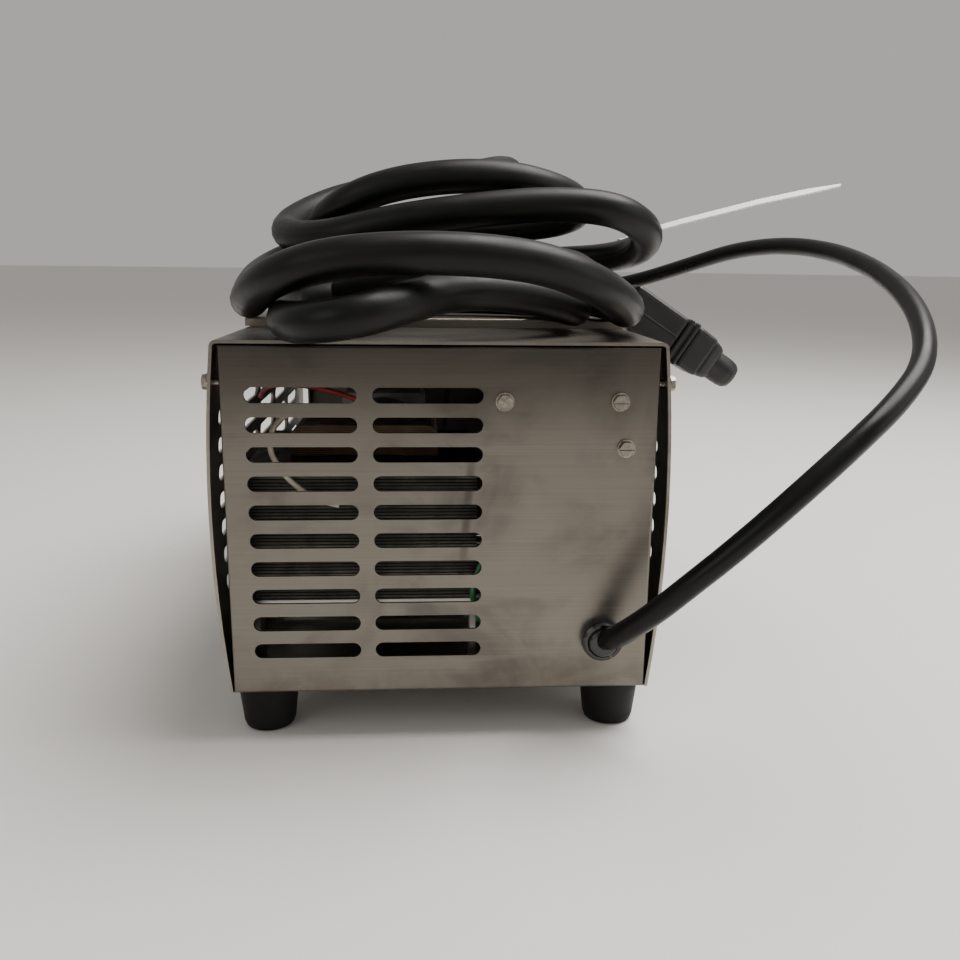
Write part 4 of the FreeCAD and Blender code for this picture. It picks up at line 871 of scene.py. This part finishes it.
def domed_gland():
    """Hex base, then a domed nut with grip ribs."""
    shape = bmesh.new()
    outwards = Matrix.Translation(at(*GLAND_PLACE)) @ OUTWARDS
    nut = bmesh.new()
    bmesh.ops.create_cone(nut, cap_ends=True, segments=6, radius1=0.016, radius2=0.016, depth=0.008)
    ease_edges(nut, 0.0008, 2)
    bmesh.ops.transform(nut, matrix=outwards @ Matrix.Translation((0, 0, 0.004)), verts=nut.verts)
    merge_in(shape, nut)
    lathe(shape, GLAND_PROFILE, 48, outwards)
    for index in range(GLAND_RIBS):
        turn = Matrix.Rotation(math.tau * index / GLAND_RIBS, 4, "Z")
        rib = bmesh.new()
        block(rib, (0.0016, 0.0012, 0.0095), Vector((0.0138, 0, 0.0142)), 0.0004, 1)
        bmesh.ops.transform(rib, matrix=outwards @ turn, verts=rib.verts)
        merge_in(shape, rib)
    nylon = finish("gland_nylon", (0.007, 0.007, 0.007), (0.016, 0.016, 0.016), (0.36, 0.5))
    piece = make_piece("gland_body", shape, nylon, "case")
    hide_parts("cable_gland")


domed_gland()
paint(finish("nut_nylon", (0.007, 0.007, 0.007), (0.016, 0.016, 0.016), (0.4, 0.55)), "gland_nut")


# Cable connector: a flat-sided moulded shell, a raised collar and a chamfered screw cap.
# Dark grey glass-filled nylon; it leans over the right top edge of the case.
CONNECTOR_LEAN = Matrix.Rotation(math.radians(33), 4, "Y")
CONNECTOR_AXIS = Matrix.Translation(at(114, 140, 204.5)) @ CONNECTOR_LEAN
connector_nylon = finish("connector_nylon", (0.003, 0.003, 0.003), (0.009, 0.009, 0.0095),
                         (0.36, 0.52), STIPPLE, (0.3, 0.0001), {"Fineness": 1200.0})


def tapered_block(shape, start, end, wide, tall, end_scale, width):
    """A block along X that narrows to end_scale at its far end, its long edges eased."""
    part = bmesh.new()
    bmesh.ops.create_cube(part, size=1.0)
    bmesh.ops.scale(part, vec=(end - start, wide, tall), verts=part.verts)
    far_end = [v for v in part.verts if v.co.x > 0]
    bmesh.ops.scale(part, vec=(1, end_scale, end_scale), verts=far_end)
    ease_edges(part, width, 3)
    bmesh.ops.translate(part, vec=((start + end) / 2, 0, 0), verts=part.verts)
    merge_in(shape, part)


def connector_piece(name, shape):
    bmesh.ops.transform(shape, matrix=CONNECTOR_AXIS, verts=shape.verts)
    return make_piece(name, shape, connector_nylon, "case")


def connector_shell():
    """Body, three collars and a fine parting rib on each side."""
    shape = bmesh.new()
    tapered_block(shape, -0.004, 0.0345, 0.0240, 0.0262, 0.98, 0.0030)
    tapered_block(shape, 0.0340, 0.0368, 0.0256, 0.0276, 1.0, 0.0012)
    tapered_block(shape, 0.0362, 0.0388, 0.0226, 0.0246, 1.0, 0.0006)
    tapered_block(shape, 0.0382, 0.0410, 0.0262, 0.0282, 1.0, 0.0013)
    for side in (1, -1):
        block(shape, (0.0330, 0.0006, 0.0012), (0.0165, side * 0.0119, 0), 0.0002, 1)
    piece = connector_piece("connector_shell", shape)
    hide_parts("heavy_connector")
    return piece


def connector_nose():
    """Screw cap that narrows to a round, hollow tip."""
    shape = bmesh.new()
    tapered_block(shape, 0.0405, 0.0560, 0.0252, 0.0268, 0.95, 0.0028)
    tapered_block(shape, 0.0540, 0.0630, 0.0236, 0.0250, 0.80, 0.0030)
    lathe(shape, [(0.0, 0.0), (0.0090, 0.0), (0.0088, 0.0110), (0.0082, 0.0146), (0.0068, 0.0166),
                  (0.0044, 0.0172), (0.0038, 0.0150), (0.0, 0.0150)], 48,
          Matrix.Translation((0.0610, 0, 0)) @ Matrix.Rotation(math.pi / 2, 4, "Y"))
    piece = connector_piece("connector_nose", shape)
    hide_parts("connector_cap")
    return piece


shell, nose = connector_shell(), connector_nose()


# Cable tie: white nylon, its head beside the cable's right-hand turn and its long tail uncut.
TIE_ROUTE = [(112, 168, 240), (124, 168.5, 246.5), (150, 169, 254), (200, 170, 267),
             (230, 171, 273.5), (251, 172, 277.8)]
TAIL_ACROSS, TAIL_THROUGH = Vector((0, 0.77, 0.64)), Vector((0, -0.64, 0.77)) * 0.0006
TAIL_HALF_WIDTH, POINT_HALF_WIDTH = 0.0022, 0.0009


def tie_tail(shape):
    """The tail is one thin strip through the route's points, narrowing to its pointed end."""
    part = bmesh.new()
    rows = []
    for index, point in enumerate(TIE_ROUTE):
        last = index == len(TIE_ROUTE) - 1
        across = TAIL_ACROSS * (POINT_HALF_WIDTH if last else TAIL_HALF_WIDTH)
        rows.append([part.verts.new(at(*point) + side * across + up * TAIL_THROUGH)
                     for side, up in ((-1, -1), (1, -1), (1, 1), (-1, 1))])
    for near, far in zip(rows, rows[1:]):
        for k in range(4):
            part.faces.new((near[k], near[(k + 1) % 4], far[(k + 1) % 4], far[k]))
    part.faces.new(rows[0])
    part.faces.new(rows[-1])
    bmesh.ops.recalc_face_normals(part, faces=part.faces)
    merge_in(shape, part)


def tie_piece():
    shape = bmesh.new()
    block(shape, (0.0070, 0.0050, 0.0060), at(115.5, 168.5, 241), 0.0007, 2)
    block(shape, (0.0030, 0.0036, 0.0012), at(117.5, 168.5, 244.2), 0.0003, 1)
    tie_tail(shape)
    nylon = finish("tie_nylon", (0.66, 0.66, 0.64), (0.80, 0.80, 0.78), (0.3, 0.42), STIPPLE,
                   (0.1, 0.0001), Subsurface_Weight=0.15, Subsurface_Scale=0.002)
    piece = make_piece("tie_strip", shape, nylon, "case")
    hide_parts("cable_tie")
    return piece


tie = tie_piece()
